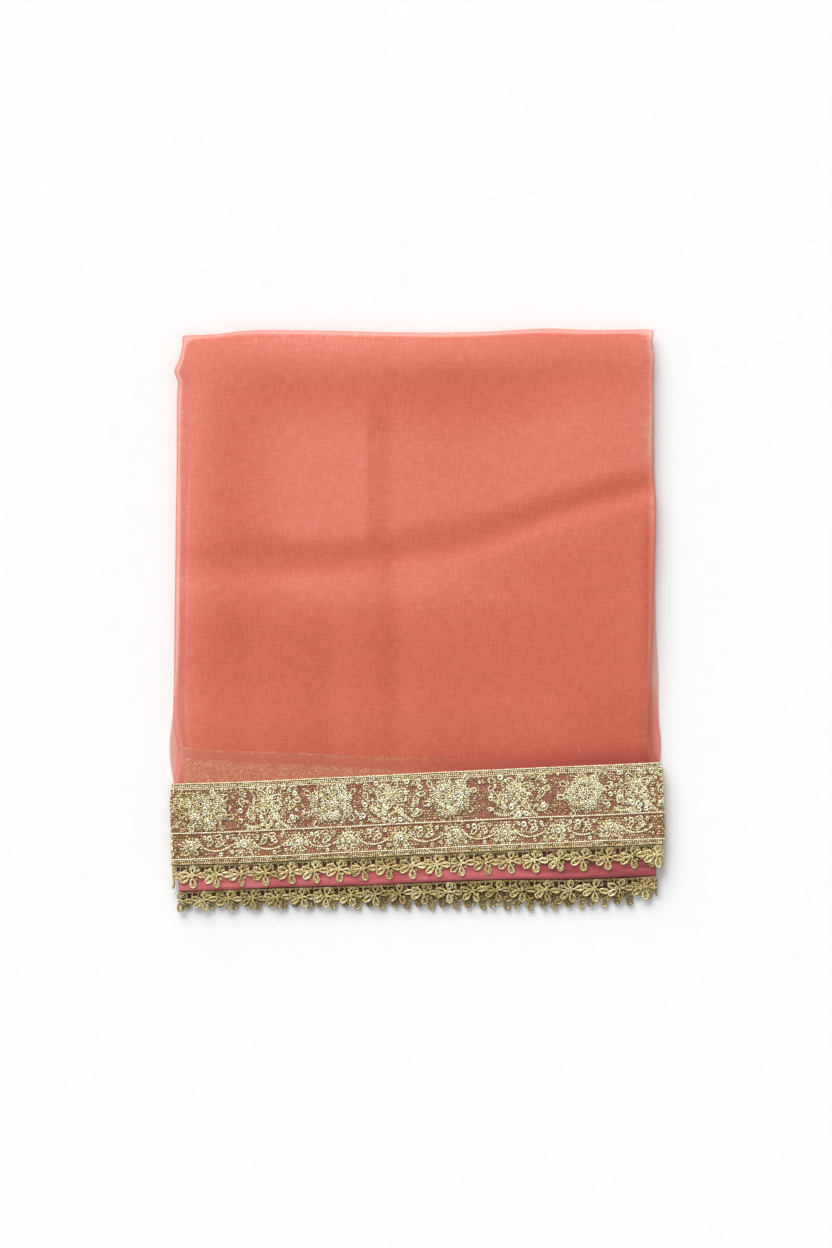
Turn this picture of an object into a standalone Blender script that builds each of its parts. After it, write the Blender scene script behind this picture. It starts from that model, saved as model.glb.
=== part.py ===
"""A folded dupatta stole: sheer cloth folded flat, with an embroidered border and lace along its edges.

All sizes are in millimetres, and new_part turns them into metres. X runs along the border, Y from the
border towards the top fold, and Z up from the surface that the stole rests on.
"""

import math

import bmesh
import bpy
import numpy as np

MM = 0.001

# The cloth's length, and the folded width. It is folded in half across its 900 mm width, then in six.
CLOTH_LENGTH = 2500.0
PANELS = 6
PACK_WIDTH = CLOTH_LENGTH / PANELS

# Walls, and the clearance between pieces.
GAP = 0.3
PLY_THICKNESS = 1.2
BORDER_THICKNESS = 1.0
LACE_THICKNESS = 1.0

# Heights above the surface that the stole rests on, and how far the cloth falls towards its edges.
CROWN_HEIGHT = 13.8
SIDE_FALL = 2.0
TOP_FALL = 1.7
BORDER_FALL = 1.2
HEM_FALL = 3.0
FALL_LENGTH = 15.0

# The roll of the top ply round the side folds and the top fold.
ROLL_RADIUS = 2.8
ROLL_END = 0.78 * math.pi
ROLL_STEPS = 4

# The border strip, measured up from the cloth's lower edge.
BORDER_WIDTH = 70.5
LOWER_CORD = 5.0
MIDDLE_CORD = 27.3
UPPER_CORD = 66.5
CORD_RELIEF = 0.45
ROSETTES = 4
ROSETTE_RADIUS = 17.0
ROSETTE_RELIEF = 0.9
ROSETTE_UP = 47.0
ROSETTE_STEP = 107.5
FIRST_ROSETTE = -182.0

# The next layer's turned hem, seen below the upper lace.
HEM_BOTTOM = 5.0
HEM_THICKNESS = 2.6
HEM_BACK_THICKNESS = 1.7
HEM_DEPTH = 42.0
HEM_LEFT = -205.0
HEM_RIGHT = 206.0
HEM_NOSE_STEPS = 4

# The lace: its flowers are one repeat apart, and each row is a whole number of half flowers.
LACE_SETTLE = 14.0
UPPER_HALVES = 41
LOWER_LACE = {"halves": 39, "reach_left": 0.84, "reach_right": 1.0, "seam": 0.4, "top": 5.75, "fall": 3.9}
FLOOR_LACE = {"halves": 37, "left": -201.0, "right": 192.0}

# The photographed outline. The side folds are listed from the lower edge up.
SIDE_FOLDS = [
    {"y": -212.0, "left": -210.7, "right": 213.6},
    {"y": -190.0, "left": -210.7, "right": 212.4},
    {"y": -146.0, "left": -210.7, "right": 210.7},
    {"y": -137.0, "left": -209.6, "right": 210.2},
    {"y": -124.0, "left": -206.6, "right": 209.2},
    {"y": -114.0, "left": -205.2, "right": 203.8},
    {"y": -100.0, "left": -208.0, "right": 200.6},
    {"y": -84.0, "left": -209.8, "right": 200.4},
    {"y": -52.0, "left": -209.4, "right": 201.6},
    {"y": 0.0, "left": -208.8, "right": 203.4},
    {"y": 52.0, "left": -208.2, "right": 204.7},
    {"y": 86.0, "left": -207.8, "right": 206.0},
    {"y": 109.0, "left": -207.4, "right": 205.6},
    {"y": 121.0, "left": -207.2, "right": 203.8},
    {"y": 160.0, "left": -206.9, "right": 203.0},
    {"y": 196.0, "left": -206.4, "right": 203.4},
    {"y": 204.0, "left": -205.8, "right": 203.2},
    {"y": 215.0, "left": -209.0, "right": 203.2},
    {"y": 224.0, "left": -205.0, "right": 204.8},
    {"y": 236.0, "left": -202.4, "right": 202.5},
    {"y": 247.0, "left": -202.4, "right": 204.0},
]
TOP_FOLD = [
    {"x": -205.0, "y": 245.4},
    {"x": -183.0, "y": 246.0},
    {"x": -156.0, "y": 249.0},
    {"x": -100.0, "y": 249.4},
    {"x": -15.0, "y": 247.7},
    {"x": 63.0, "y": 248.5},
    {"x": 114.0, "y": 251.0},
    {"x": 157.0, "y": 249.7},
    {"x": 205.0, "y": 250.6},
]
LOWER_EDGE = [
    {"x": -211.0, "y": -208.7},
    {"x": -138.0, "y": -206.8},
    {"x": -66.0, "y": -203.8},
    {"x": 3.0, "y": -200.4},
    {"x": 80.0, "y": -196.7},
    {"x": 140.0, "y": -194.6},
    {"x": 213.0, "y": -192.2},
]
HEM_EDGE = [
    {"x": -204.0, "y": -233.3},
    {"x": -138.0, "y": -230.9},
    {"x": -66.0, "y": -229.1},
    {"x": 3.0, "y": -226.2},
    {"x": 80.0, "y": -223.4},
    {"x": 140.0, "y": -223.2},
    {"x": 206.0, "y": -220.2},
]
FLOOR_EDGE = [
    {"x": -204.0, "y": -229.4},
    {"x": 0.0, "y": -229.0},
    {"x": 120.0, "y": -229.6},
    {"x": 206.0, "y": -224.6},
]
# The bottom layer is looser than the upper folds, and stands out past them near the border.
LOOSE_FOLDS = [
    {"y": -150.0, "left": -206.0, "right": 206.0},
    {"y": -139.0, "left": -210.0, "right": 207.5},
    {"y": -122.0, "left": -213.2, "right": 209.6},
    {"y": -107.0, "left": -213.9, "right": 210.4},
    {"y": -86.0, "left": -211.6, "right": 208.6},
    {"y": -43.0, "left": -207.5, "right": 208.0},
    {"y": -9.0, "left": -206.0, "right": 205.6},
    {"y": 30.0, "left": -205.0, "right": 202.6},
    {"y": 200.0, "left": -203.5, "right": 201.0},
    {"y": 246.0, "left": -200.0, "right": 201.5},
]

# The main creases: soft valleys from an earlier folding, wider on one side than on the other.
CROSS_CREASE = [
    {"x": -205.0, "y": 41.0, "depth": 0.5},
    {"x": -160.0, "y": 42.5, "depth": 0.9},
    {"x": -92.0, "y": 45.0, "depth": 1.1},
    {"x": -22.0, "y": 52.0, "depth": 0.9},
    {"x": 30.0, "y": 59.0, "depth": 1.0},
    {"x": 74.0, "y": 70.5, "depth": 1.2},
    {"x": 111.0, "y": 84.0, "depth": 1.4},
    {"x": 157.0, "y": 98.0, "depth": 1.4},
    {"x": 205.0, "y": 112.0, "depth": 1.0},
]
LENGTH_CREASE = [
    {"y": -150.0, "x": -27.0, "depth": 0.3},
    {"y": -60.0, "x": -27.0, "depth": 0.6},
    {"y": 0.0, "x": -29.0, "depth": 0.6},
    {"y": 60.0, "x": -36.0, "depth": 0.9},
    {"y": 150.0, "x": -35.0, "depth": 0.9},
    {"y": 215.0, "x": -30.0, "depth": 0.4},
]
TOP_HOLLOW = [
    {"x": -205.0, "y": 206.0, "depth": 0.2},
    {"x": -60.0, "y": 202.0, "depth": 0.6},
    {"x": 60.0, "y": 205.0, "depth": 0.9},
    {"x": 205.0, "y": 212.0, "depth": 0.3},
]
CREASE_WIDTHS = {
    "cross": {"before": 11.0, "after": 17.0},
    "length": {"before": 14.0, "after": 8.0},
    "hollow": {"before": 22.0, "after": 14.0},
}

# The hidden layers, from the bottom up: the top of each, and how far it lies inside the side folds, the
# top fold and the hem.
LAYERS = [
    {"top": 2.4, "side": 0.0, "fold": 2.5, "hem": 0.0, "wave": 0.0},
    {"top": 4.7, "side": 6.0, "fold": 4.2, "hem": 4.4, "wave": 0.7},
    {"top": 6.1, "side": 4.2, "fold": 3.6, "hem": HEM_DEPTH + 0.5, "wave": 0.5},
    {"top": 8.5, "side": 5.4, "fold": 5.0, "hem": HEM_DEPTH + 4.0, "wave": 0.6},
    {"top": 10.7, "side": 8.5, "fold": 8.0, "hem": HEM_DEPTH + 9.0, "wave": 0.6},
]
LAYER_ROUNDING = 1.2
LAYER_CORNER = 3.0
LAYER_WAVE_LENGTH = 95.0
LAYER_STEPS = {"across": 16, "up": 17}
FIRM_LAYERS = 2
UNDER_PLY_ROOM = 3.1
CORNER_X = 200.0

COLOURS = {
    "coral_cloth": {"colour": (0.76, 0.19, 0.12), "roughness": 0.7, "metallic": 0.0},
    "inner_cloth": {"colour": (0.70, 0.16, 0.11), "roughness": 0.75, "metallic": 0.0},
    "border_net": {"colour": (0.50, 0.38, 0.20), "roughness": 0.45, "metallic": 0.4},
    "gold_cord": {"colour": (0.52, 0.40, 0.16), "roughness": 0.4, "metallic": 0.5},
    "rose_cloth": {"colour": (0.62, 0.12, 0.15), "roughness": 0.65, "metallic": 0.0},
}


def smooth(rows, key, value, at):
    """The value column of a table at a place in its key column, on a smooth line through the rows."""
    places = [row[key] for row in rows]
    values = [row[value] for row in rows]
    slopes = np.gradient(values, places)
    at = min(max(at, places[0]), places[-1])
    i = min(max(int(np.searchsorted(places, at)) - 1, 0), len(places) - 2)
    step = places[i + 1] - places[i]
    t = (at - places[i]) / step
    start = (1 + 2 * t) * (1 - t) ** 2 * values[i] + t * (1 - t) ** 2 * step * slopes[i]
    end = t * t * (3 - 2 * t) * values[i + 1] + t * t * (t - 1) * step * slopes[i + 1]
    return float(start + end)


def ease(value, start, end):
    """0 before start, 1 after end, and a smooth rise between them."""
    t = min(max((value - start) / (end - start), 0), 1)
    return t * t * (3 - 2 * t)


def valley(offset, name):
    """The share of a crease's depth at a distance from its line."""
    widths = CREASE_WIDTHS[name]
    width = widths["before"] if offset < 0 else widths["after"]
    return math.exp(-((offset / width) ** 2))


def calm_height(x, y):
    """The height of the top ply's outside, as it would be with no creases."""
    left = smooth(SIDE_FOLDS, "y", "left", y) + ROLL_RADIUS
    right = smooth(SIDE_FOLDS, "y", "right", y) - ROLL_RADIUS
    top = smooth(TOP_FOLD, "x", "y", x) - ROLL_RADIUS
    up = y - smooth(LOWER_EDGE, "x", "y", x)
    side = math.exp(-max(x - left, 0) / FALL_LENGTH) + math.exp(-max(right - x, 0) / FALL_LENGTH)
    fold = math.exp(-max(top - y, 0) / FALL_LENGTH)
    border = 1 - ease(up, 0.9 * BORDER_WIDTH, 1.8 * BORDER_WIDTH)
    hem = 1 - ease(up, 0, BORDER_WIDTH)
    fall = SIDE_FALL * side * (1 - hem) + TOP_FALL * fold + BORDER_FALL * border + HEM_FALL * hem
    return CROWN_HEIGHT - fall


def ply_height(x, y):
    """The height of the top ply's outside, with its creases, which end above the border."""
    cross = valley(y - smooth(CROSS_CREASE, "x", "y", x), "cross") * smooth(CROSS_CREASE, "x", "depth", x)
    length = valley(x - smooth(LENGTH_CREASE, "y", "x", y), "length") * smooth(LENGTH_CREASE, "y", "depth", y)
    hollow = valley(y - smooth(TOP_HOLLOW, "x", "y", x), "hollow") * smooth(TOP_HOLLOW, "x", "depth", x)
    up = y - smooth(LOWER_EDGE, "x", "y", x)
    return calm_height(x, y) - max(cross, length, hollow) * ease(up, BORDER_WIDTH, 1.35 * BORDER_WIDTH)


def ply_span(x):
    """The length of the flat part of the top ply, from its lower edge up to the top fold."""
    return smooth(TOP_FOLD, "x", "y", x) - ROLL_RADIUS - smooth(LOWER_EDGE, "x", "y", x)


def ply_point(across, up, side_turn, fold_turn, out=0.0):
    """A point on the top ply: across runs from -1 to 1 between the side folds, and up from 0 to 1.

    The turns are how far round the side fold and the top fold the point is, in radians, and out is its
    distance outside the ply.
    """
    level_x = across * PACK_WIDTH / 2
    y = smooth(LOWER_EDGE, "x", "y", level_x) + up * ply_span(level_x)
    left = smooth(SIDE_FOLDS, "y", "left", y) + ROLL_RADIUS
    right = smooth(SIDE_FOLDS, "y", "right", y) - ROLL_RADIUS
    x = left + (across + 1) / 2 * (right - left)
    turn = max(side_turn, fold_turn)
    z = ply_height(x, y) + (ROLL_RADIUS + out) * math.cos(turn) - ROLL_RADIUS
    if turn > 0:
        reach = (ROLL_RADIUS + out) * math.sin(turn) / math.hypot(side_turn, fold_turn)
        x += math.copysign(reach * side_turn, across)
        y += reach * fold_turn
    return x, y, z


def new_part(name, mesh, colour, parts):
    """An object for a mesh whose points are in millimetres, scaled to metres, in the collection."""
    mesh.name = name
    for vertex in mesh.vertices:
        vertex.co = vertex.co * MM
    mesh.materials.append(colour)
    part = bpy.data.objects.new(name, mesh)
    parts.objects.link(part)
    return part


def loft(name, points, faces):
    """A mesh from rows of points and the faces that join them."""
    mesh = bpy.data.meshes.new(name)
    mesh.from_pydata(points, [], faces)
    mesh.update()
    return mesh


def face_outwards(mesh):
    """Turns the faces of a closed mesh out."""
    shape = bmesh.new()
    shape.from_mesh(mesh)
    bmesh.ops.recalc_face_normals(shape, faces=shape.faces)
    shape.to_mesh(mesh)
    shape.free()


def grid_faces(rows, columns, closed=False):
    """The quads of a grid of points, listed row by row. A closed one joins its last column to its first."""
    faces = []
    for row in range(rows - 1):
        for column in range(columns if closed else columns - 1):
            here = row * columns + column
            after = row * columns + (column + 1) % columns
            faces.append((here, after, after + columns, here + columns))
    return faces


def material(name):
    look = COLOURS[name]
    made = bpy.data.materials.new(name)
    made.use_nodes = True
    shader = made.node_tree.nodes["Principled BSDF"]
    shader.inputs["Base Color"].default_value = (*look["colour"], 1)
    shader.inputs["Roughness"].default_value = look["roughness"]
    shader.inputs["Metallic"].default_value = look["metallic"]
    return made


def ply_columns(flat_columns):
    """Pairs of across and side turn, from round the left fold to round the right one."""
    turns = [ROLL_END * (1 - i / ROLL_STEPS) for i in range(ROLL_STEPS)]
    flat = [(2 * i / flat_columns - 1, 0.0) for i in range(flat_columns + 1)]
    return [(-1.0, turn) for turn in turns] + flat + [(1.0, turn) for turn in reversed(turns)]


def make_top_ply(colour, parts):
    """The cloth on top of the pack, rolled over the two side folds and the top fold."""
    columns = ply_columns(26)
    border_rows = 3
    open_rows = 21
    border_share = BORDER_WIDTH / ply_span(0)
    rows = [(border_share * i / border_rows, 0.0) for i in range(border_rows)]
    rows += [(border_share + (1 - border_share) * i / open_rows, 0.0) for i in range(open_rows + 1)]
    rows += [(1.0, ROLL_END * (i + 1) / ROLL_STEPS) for i in range(ROLL_STEPS)]
    points = [
        ply_point(across, up, side_turn, fold_turn)
        for up, fold_turn in rows
        for across, side_turn in columns
    ]
    mesh = loft("top_ply", points, grid_faces(len(rows), len(columns)))
    mesh.shade_smooth()
    part = new_part("top_ply", mesh, colour, parts)
    wall = part.modifiers.new("wall", "SOLIDIFY")
    wall.thickness = PLY_THICKNESS * MM
    wall.offset = -1
    wall.use_even_offset = True


def border_relief(x, up):
    """How far the border's cords and sequin rosettes stand up from its ground."""
    relief = CORD_RELIEF if up in (LOWER_CORD, MIDDLE_CORD, UPPER_CORD) else 0.0
    for i in range(ROSETTES):
        centre = FIRST_ROSETTE + i * ROSETTE_STEP
        distance = math.hypot(x - centre, up - ROSETTE_UP) / ROSETTE_RADIUS
        if distance < 1:
            relief = max(relief, ROSETTE_RELIEF * math.cos(distance * math.pi / 2))
    return relief


def border_heights():
    """The rows of the border strip: its two edges, its three cords, and rows between them."""
    lower = [LOWER_CORD + (MIDDLE_CORD - LOWER_CORD) * i / 2 for i in range(2)]
    upper = [MIDDLE_CORD + (UPPER_CORD - MIDDLE_CORD) * i / 4 for i in range(4)]
    return [0.0] + lower + upper + [UPPER_CORD, BORDER_WIDTH]


def make_border(colour, parts):
    """The embroidered strip: a plain inside that follows the ply, and an outside with raised work."""
    columns = ply_columns(46)
    heights = border_heights()
    inside = []
    outside = []
    for height in heights:
        for across, turn in columns:
            x = across * PACK_WIDTH / 2
            share = height / ply_span(x)
            out = BORDER_THICKNESS + border_relief(x, height)
            inside.append(ply_point(across, share, turn, 0.0, GAP))
            outside.append(ply_point(across, share, turn, 0.0, GAP + out))
    count = len(inside)
    width = len(columns)
    sheet = grid_faces(len(heights), width)
    faces = [tuple(i + count for i in face) for face in sheet] + [face[::-1] for face in sheet]
    rim = list(range(width))
    rim += [width * (row + 1) - 1 for row in range(1, len(heights))]
    rim += [count - 1 - i for i in range(1, width)]
    rim += [width * row for row in range(len(heights) - 2, 0, -1)]
    for here, after in zip(rim, rim[1:] + rim[:1]):
        faces.append((here, after, after + count, here + count))
    mesh = loft("gold_border", inside + outside, faces)
    face_outwards(mesh)
    mesh.shade_smooth()
    new_part("gold_border", mesh, colour, parts)


def layer_outline(layer, inset):
    """The outline of one hidden layer, from its lower left corner, counterclockwise."""
    bottom = layer is LAYERS[0]
    folds = LOOSE_FOLDS if bottom else SIDE_FOLDS
    lower = FLOOR_EDGE if bottom else HEM_EDGE

    def ripple(at):
        return layer["wave"] * math.sin(2 * math.pi * at / LAYER_WAVE_LENGTH + layer["top"])

    def left(y):
        return smooth(folds, "y", "left", y) + layer["side"] + inset + ripple(y)

    def right(y):
        return smooth(folds, "y", "right", y) - layer["side"] - inset - ripple(y + LAYER_WAVE_LENGTH / 3)

    def low(x):
        return smooth(lower, "x", "y", x) + layer["hem"] + inset

    def high(x):
        return smooth(TOP_FOLD, "x", "y", x) - layer["fold"] - inset + ripple(x)

    def steps(start, end, count):
        return [start + (end - start) * i / (count - 1) for i in range(count)]

    left_low = left(low(-CORNER_X)) + LAYER_CORNER
    right_low = right(low(CORNER_X)) - LAYER_CORNER
    left_high = left(high(-CORNER_X)) + LAYER_CORNER
    right_high = right(high(CORNER_X)) - LAYER_CORNER
    across = LAYER_STEPS["across"]
    up = LAYER_STEPS["up"]
    outline = [(x, low(x)) for x in steps(left_low, right_low, across)]
    rise = steps(low(right_low) + LAYER_CORNER, high(right_high) - LAYER_CORNER, up)
    outline += [(right(y), y) for y in rise]
    outline += [(x, high(x)) for x in steps(right_high, left_high, across)]
    descent = steps(high(left_high) - LAYER_CORNER, low(left_low) + LAYER_CORNER, up)
    outline += [(left(y), y) for y in descent]
    return outline


def stack_height(level, x, y):
    """The height of a level of the hidden layers. The loose upper ones thin out towards the edges."""
    firm = LAYERS[FIRM_LAYERS - 1]["top"]
    if level <= firm:
        return level
    room = calm_height(x, y) - UNDER_PLY_ROOM
    return firm + (level - firm) / (LAYERS[-1]["top"] - firm) * (room - firm)


def make_folded_stack(colour, parts):
    """The hidden layers as one solid, with a rounded edge for each of them."""
    rings = []
    floor = 0.0
    for layer in LAYERS:
        top = layer["top"]
        for level, inset in ((floor, LAYER_ROUNDING), ((floor + top) / 2, 0.0), (top, LAYER_ROUNDING)):
            outline = layer_outline(layer, inset)
            rings.append([(x, y, stack_height(level, x, y)) for x, y in outline])
        floor = top
    rim = rings[-1]
    centre_y = sum(point[1] for point in rim) / len(rim)
    for share in (0.75, 0.45):
        flat = [(x * share, centre_y + (y - centre_y) * share) for x, y, _ in rim]
        rings.append([(x, y, stack_height(floor, x, y)) for x, y in flat])
    width = len(rim)
    points = [point for ring in rings for point in ring]
    faces = grid_faces(len(rings), width, closed=True)
    faces.append(tuple(range(width)))
    faces.append(tuple(range(len(points) - width, len(points))))
    mesh = loft("folded_stack", points, faces)
    face_outwards(mesh)
    new_part("folded_stack", mesh, colour, parts)


def make_rose_hem(colour, parts):
    """The next layer's turned hem: a flat band with a rounded lower edge."""
    stations = 26
    radius = HEM_THICKNESS / 2
    nose = [math.pi / 2 + math.pi * i / HEM_NOSE_STEPS for i in range(HEM_NOSE_STEPS + 1)]
    points = []
    for i in range(stations):
        x = HEM_LEFT + (HEM_RIGHT - HEM_LEFT) * i / (stations - 1)
        edge = smooth(HEM_EDGE, "x", "y", x)
        for angle in nose:
            y = edge + radius + radius * math.cos(angle)
            points.append((x, y, HEM_BOTTOM + radius + radius * math.sin(angle)))
        points.append((x, edge + HEM_DEPTH, HEM_BOTTOM))
        points.append((x, edge + HEM_DEPTH, HEM_BOTTOM + HEM_BACK_THICKNESS))
    width = len(nose) + 2
    faces = grid_faces(stations, width, closed=True)
    faces.append(tuple(range(width)))
    faces.append(tuple(range(len(points) - width, len(points))))
    mesh = loft("rose_hem", points, faces)
    face_outwards(mesh)
    new_part("rose_hem", mesh, colour, parts)


# Half a flower of lace. Along runs from the flower's middle to its joint with the next flower.
HALF_FLOWER = 10.55
FLOWER_EDGE = [
    {"along": HALF_FLOWER, "down": 11.8},
    {"along": 9.6, "down": 13.2},
    {"along": 7.2, "down": 13.6},
    {"along": 4.2, "down": 11.6},
    {"along": 1.5, "down": 11.9},
    {"along": 2.95, "down": 16.4},
    {"along": 1.8, "down": 19.8},
    {"along": 0.0, "down": 20.6},
]
PETAL_GAP = [
    {"along": 0.0, "down": 18.3},
    {"along": 1.3, "down": 16.8},
    {"along": 1.3, "down": 14.0},
    {"along": 0.0, "down": 12.4},
]
HEADER = [
    {"along": 0.0, "down": 0.0},
    {"along": HALF_FLOWER / 2, "down": 0.0},
    {"along": HALF_FLOWER, "down": 0.0},
]
HEADER_GAP = [
    {"along": 3.6, "down": 1.6},
    {"along": 8.8, "down": 1.6},
    {"along": 6.0, "down": 6.2},
]


def add_half_flower(shape, start, side):
    """Fills half a flower in a flat shape. Side is 1 where it runs on from its middle, or else -1."""
    edges = []
    for outline in (HEADER + FLOWER_EDGE + PETAL_GAP, HEADER_GAP):
        points = [shape.verts.new((start + side * row["along"], -row["down"], 0)) for row in outline]
        edges += [shape.edges.new((a, b)) for a, b in zip(points, points[1:] + points[:1])]
    bmesh.ops.triangle_fill(shape, use_beauty=True, edges=edges)


def make_lace(name, halves, stretch, place, colour, parts):
    """A row of lace: half flowers filled flat round their gaps, welded, then laid where place says."""
    shape = bmesh.new()
    for half in range(halves):
        on_flower = half % 2 == 0
        start = half if on_flower else half + 1
        add_half_flower(shape, start * HALF_FLOWER, 1 if on_flower else -1)
    bmesh.ops.remove_doubles(shape, verts=shape.verts, dist=0.1 * GAP)
    for vertex in shape.verts:
        vertex.co = place(vertex.co.x * stretch, -vertex.co.y)
    bmesh.ops.recalc_face_normals(shape, faces=shape.faces)
    mesh = bpy.data.meshes.new(name)
    shape.to_mesh(mesh)
    shape.free()
    part = new_part(name, mesh, colour, parts)
    wall = part.modifiers.new("wall", "SOLIDIFY")
    wall.thickness = LACE_THICKNESS * MM
    wall.offset = 0


def make_upper_lace(colour, parts):
    """The lace on the top ply's lower edge. It settles onto the hem, and rolls over the side folds."""
    left = smooth(SIDE_FOLDS, "y", "left", LOWER_EDGE[0]["y"]) + ROLL_RADIUS
    right = smooth(SIDE_FOLDS, "y", "right", LOWER_EDGE[-1]["y"]) - ROLL_RADIUS
    first = left - ROLL_RADIUS * ROLL_END
    last = right + ROLL_RADIUS * ROLL_END
    rest = HEM_BOTTOM + HEM_THICKNESS + GAP + LACE_THICKNESS / 2
    radius = ROLL_RADIUS - PLY_THICKNESS / 2

    def place(along, down):
        x = min(max(first + along, left), right)
        turn = abs(first + along - x) / ROLL_RADIUS
        edge = smooth(LOWER_EDGE, "x", "y", x)
        z = ply_height(x, edge) - PLY_THICKNESS / 2
        z += (rest - z) * ease(down, 0, LACE_SETTLE) + radius * (math.cos(turn) - 1)
        return x + math.copysign(radius * math.sin(turn), first + along), edge - GAP - down, z

    stretch = (last - first) / (UPPER_HALVES * HALF_FLOWER)
    make_lace("upper_lace", UPPER_HALVES, stretch, place, colour, parts)


def make_lower_lace(colour, parts):
    """The lace on the hem, which falls from it to just above the lace that lies on the surface."""
    width = HEM_RIGHT - HEM_LEFT

    def place(along, down):
        share = along / width
        reach = LOWER_LACE["reach_left"] * (1 - share) + LOWER_LACE["reach_right"] * share
        y = smooth(HEM_EDGE, "x", "y", HEM_LEFT + along) - LOWER_LACE["seam"] - reach * down
        z = LOWER_LACE["top"] - LOWER_LACE["fall"] * ease(down, 0, LACE_SETTLE)
        return HEM_LEFT + along, y, z

    halves = LOWER_LACE["halves"]
    make_lace("lower_lace", halves, width / (halves * HALF_FLOWER), place, colour, parts)


def make_floor_lace(colour, parts):
    """The lace on the bottom layer, flat on the surface that the stole rests on."""
    left = FLOOR_LACE["left"]
    halves = FLOOR_LACE["halves"]

    def place(along, down):
        return left + along, smooth(FLOOR_EDGE, "x", "y", left + along) - GAP - down, LACE_THICKNESS / 2

    stretch = (FLOOR_LACE["right"] - left) / (halves * HALF_FLOWER)
    make_lace("floor_lace", halves, stretch, place, colour, parts)


def main():
    for old in list(bpy.data.objects):
        bpy.data.objects.remove(old)
    parts = bpy.data.collections.new("folded_dupatta")
    bpy.context.scene.collection.children.link(parts)
    looks = {name: material(name) for name in COLOURS}
    make_folded_stack(looks["inner_cloth"], parts)
    make_top_ply(looks["coral_cloth"], parts)
    make_border(looks["border_net"], parts)
    make_rose_hem(looks["rose_cloth"], parts)
    make_upper_lace(looks["gold_cord"], parts)
    make_lower_lace(looks["gold_cord"], parts)
    make_floor_lace(looks["gold_cord"], parts)


main()
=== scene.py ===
import random
from math import atan2, cos, pi, radians, sin

import bmesh
import bpy
import numpy as np
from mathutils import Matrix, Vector


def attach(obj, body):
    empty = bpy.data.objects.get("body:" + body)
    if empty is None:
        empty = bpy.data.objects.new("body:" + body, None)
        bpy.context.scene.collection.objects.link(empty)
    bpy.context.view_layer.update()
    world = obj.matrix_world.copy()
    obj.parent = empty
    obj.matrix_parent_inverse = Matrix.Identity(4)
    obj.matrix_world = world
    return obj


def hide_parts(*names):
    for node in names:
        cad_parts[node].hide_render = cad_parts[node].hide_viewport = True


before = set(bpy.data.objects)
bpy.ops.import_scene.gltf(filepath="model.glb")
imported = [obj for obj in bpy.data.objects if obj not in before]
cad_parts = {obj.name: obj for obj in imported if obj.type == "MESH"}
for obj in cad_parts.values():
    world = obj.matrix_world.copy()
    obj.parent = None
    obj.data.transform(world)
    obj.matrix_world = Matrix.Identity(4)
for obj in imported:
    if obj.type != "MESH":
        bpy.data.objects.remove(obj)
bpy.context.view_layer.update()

# All sizes are in millimetres until a mesh is written, which is in metres.
mm = 0.001
dice = random.Random(5)

packHalf = 2500.0 / 6 / 2  # half of one sixth of the cloth's length
rollRadius = 2.8
rollEnd = 0.78 * pi  # how far a fold's ply turns under
borderWidth = 70.5
leftStart, rightEnd = -211.2, -192.5  # where the border's lower edge meets the side folds

sideFolds = [  # y, left fold, right fold
    (-212, -210.7, 213.6), (-190, -210.7, 212.4), (-146, -210.7, 210.7), (-137, -209.6, 210.2),
    (-124, -206.6, 209.2), (-114, -205.2, 203.8), (-100, -208, 200.6), (-84, -209.8, 200.4),
    (-52, -209.4, 201.6), (0, -208.8, 203.4), (52, -208.2, 204.7), (86, -207.8, 206),
    (109, -207.4, 205.6), (121, -207.2, 203.8), (160, -206.9, 203), (196, -206.4, 203.4),
    (204, -205.8, 203.2), (215, -209, 203.2), (224, -205, 204.8), (236, -202.4, 202.5), (247, -202.4, 204),
]
topFold = [  # x, y, as in the three edges below
    (-205, 245.4), (-183, 246), (-156, 249), (-100, 249.4), (-15, 247.7), (63, 248.5), (114, 251),
    (157, 249.7), (205, 250.6),
]
lowerEdge = [
    (-211, -211.2), (-138, -208.5), (-66, -205.1), (3, -201.7), (80, -198), (140, -195.6), (213, -192.5),
]
hemEdge = [
    (-204, -234.1), (-138, -231.3), (-66, -229.1), (3, -226.2), (80, -223.4), (140, -223.2), (206, -220.2),
]
floorEdge = [(-204, -229.4), (0, -229), (120, -229.6), (206, -224.6)]
looseLeft = [  # y, x
    (-150, -206), (-139, -210), (-122, -213.2), (-107, -213.9), (-86, -211.6), (-43, -207.5), (-9, -206),
    (30, -205), (200, -203.5), (246, -200),
]
looseRight = [
    (-150, 206), (-139, 207.5), (-122, 209.6), (-107, 210.4), (-86, 208.6), (-43, 208), (-9, 206.4),
    (30, 205.6), (86, 206.4), (140, 205), (200, 204.4), (232, 204), (246, 202.5),
]
crossCrease = [  # x, y, depth
    (-205, 43.5, 0.5), (-160, 45, 0.9), (-92, 48, 1.0), (-22, 55, 0.8), (30, 63.5, 0.9), (74, 76, 1.0),
    (111, 90, 1.1), (157, 103, 1.1), (205, 115, 0.8),
]
lengthCrease = [  # y, x, depth
    (-150, -25, 0.3), (-60, -25, 0.6), (0, -26, 0.6), (60, -29, 0.65), (150, -29, 0.65), (215, -27, 0.4),
]
topHollow = [(-205, 206, 0.2), (-60, 202, 0.6), (60, 205, 0.9), (205, 212, 0.3)]  # x, y, depth
innerEdges = [  # x, the upper edge of the border that shows through the top ply, and where its specks begin
    (-205, -108.9, -119), (-186, -110.4, -120.3), (-152, -112.5, -123.2), (-100, -113.8, -124.9),
    (-49, -116.8, -127.6), (3, -117.7, -130), (85, -121, -134),
]


def linesOf(rows):  # a table's other columns, each against its first
    return [[(row[0], row[i]) for row in rows] for i in range(1, len(rows[0]))]


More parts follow.
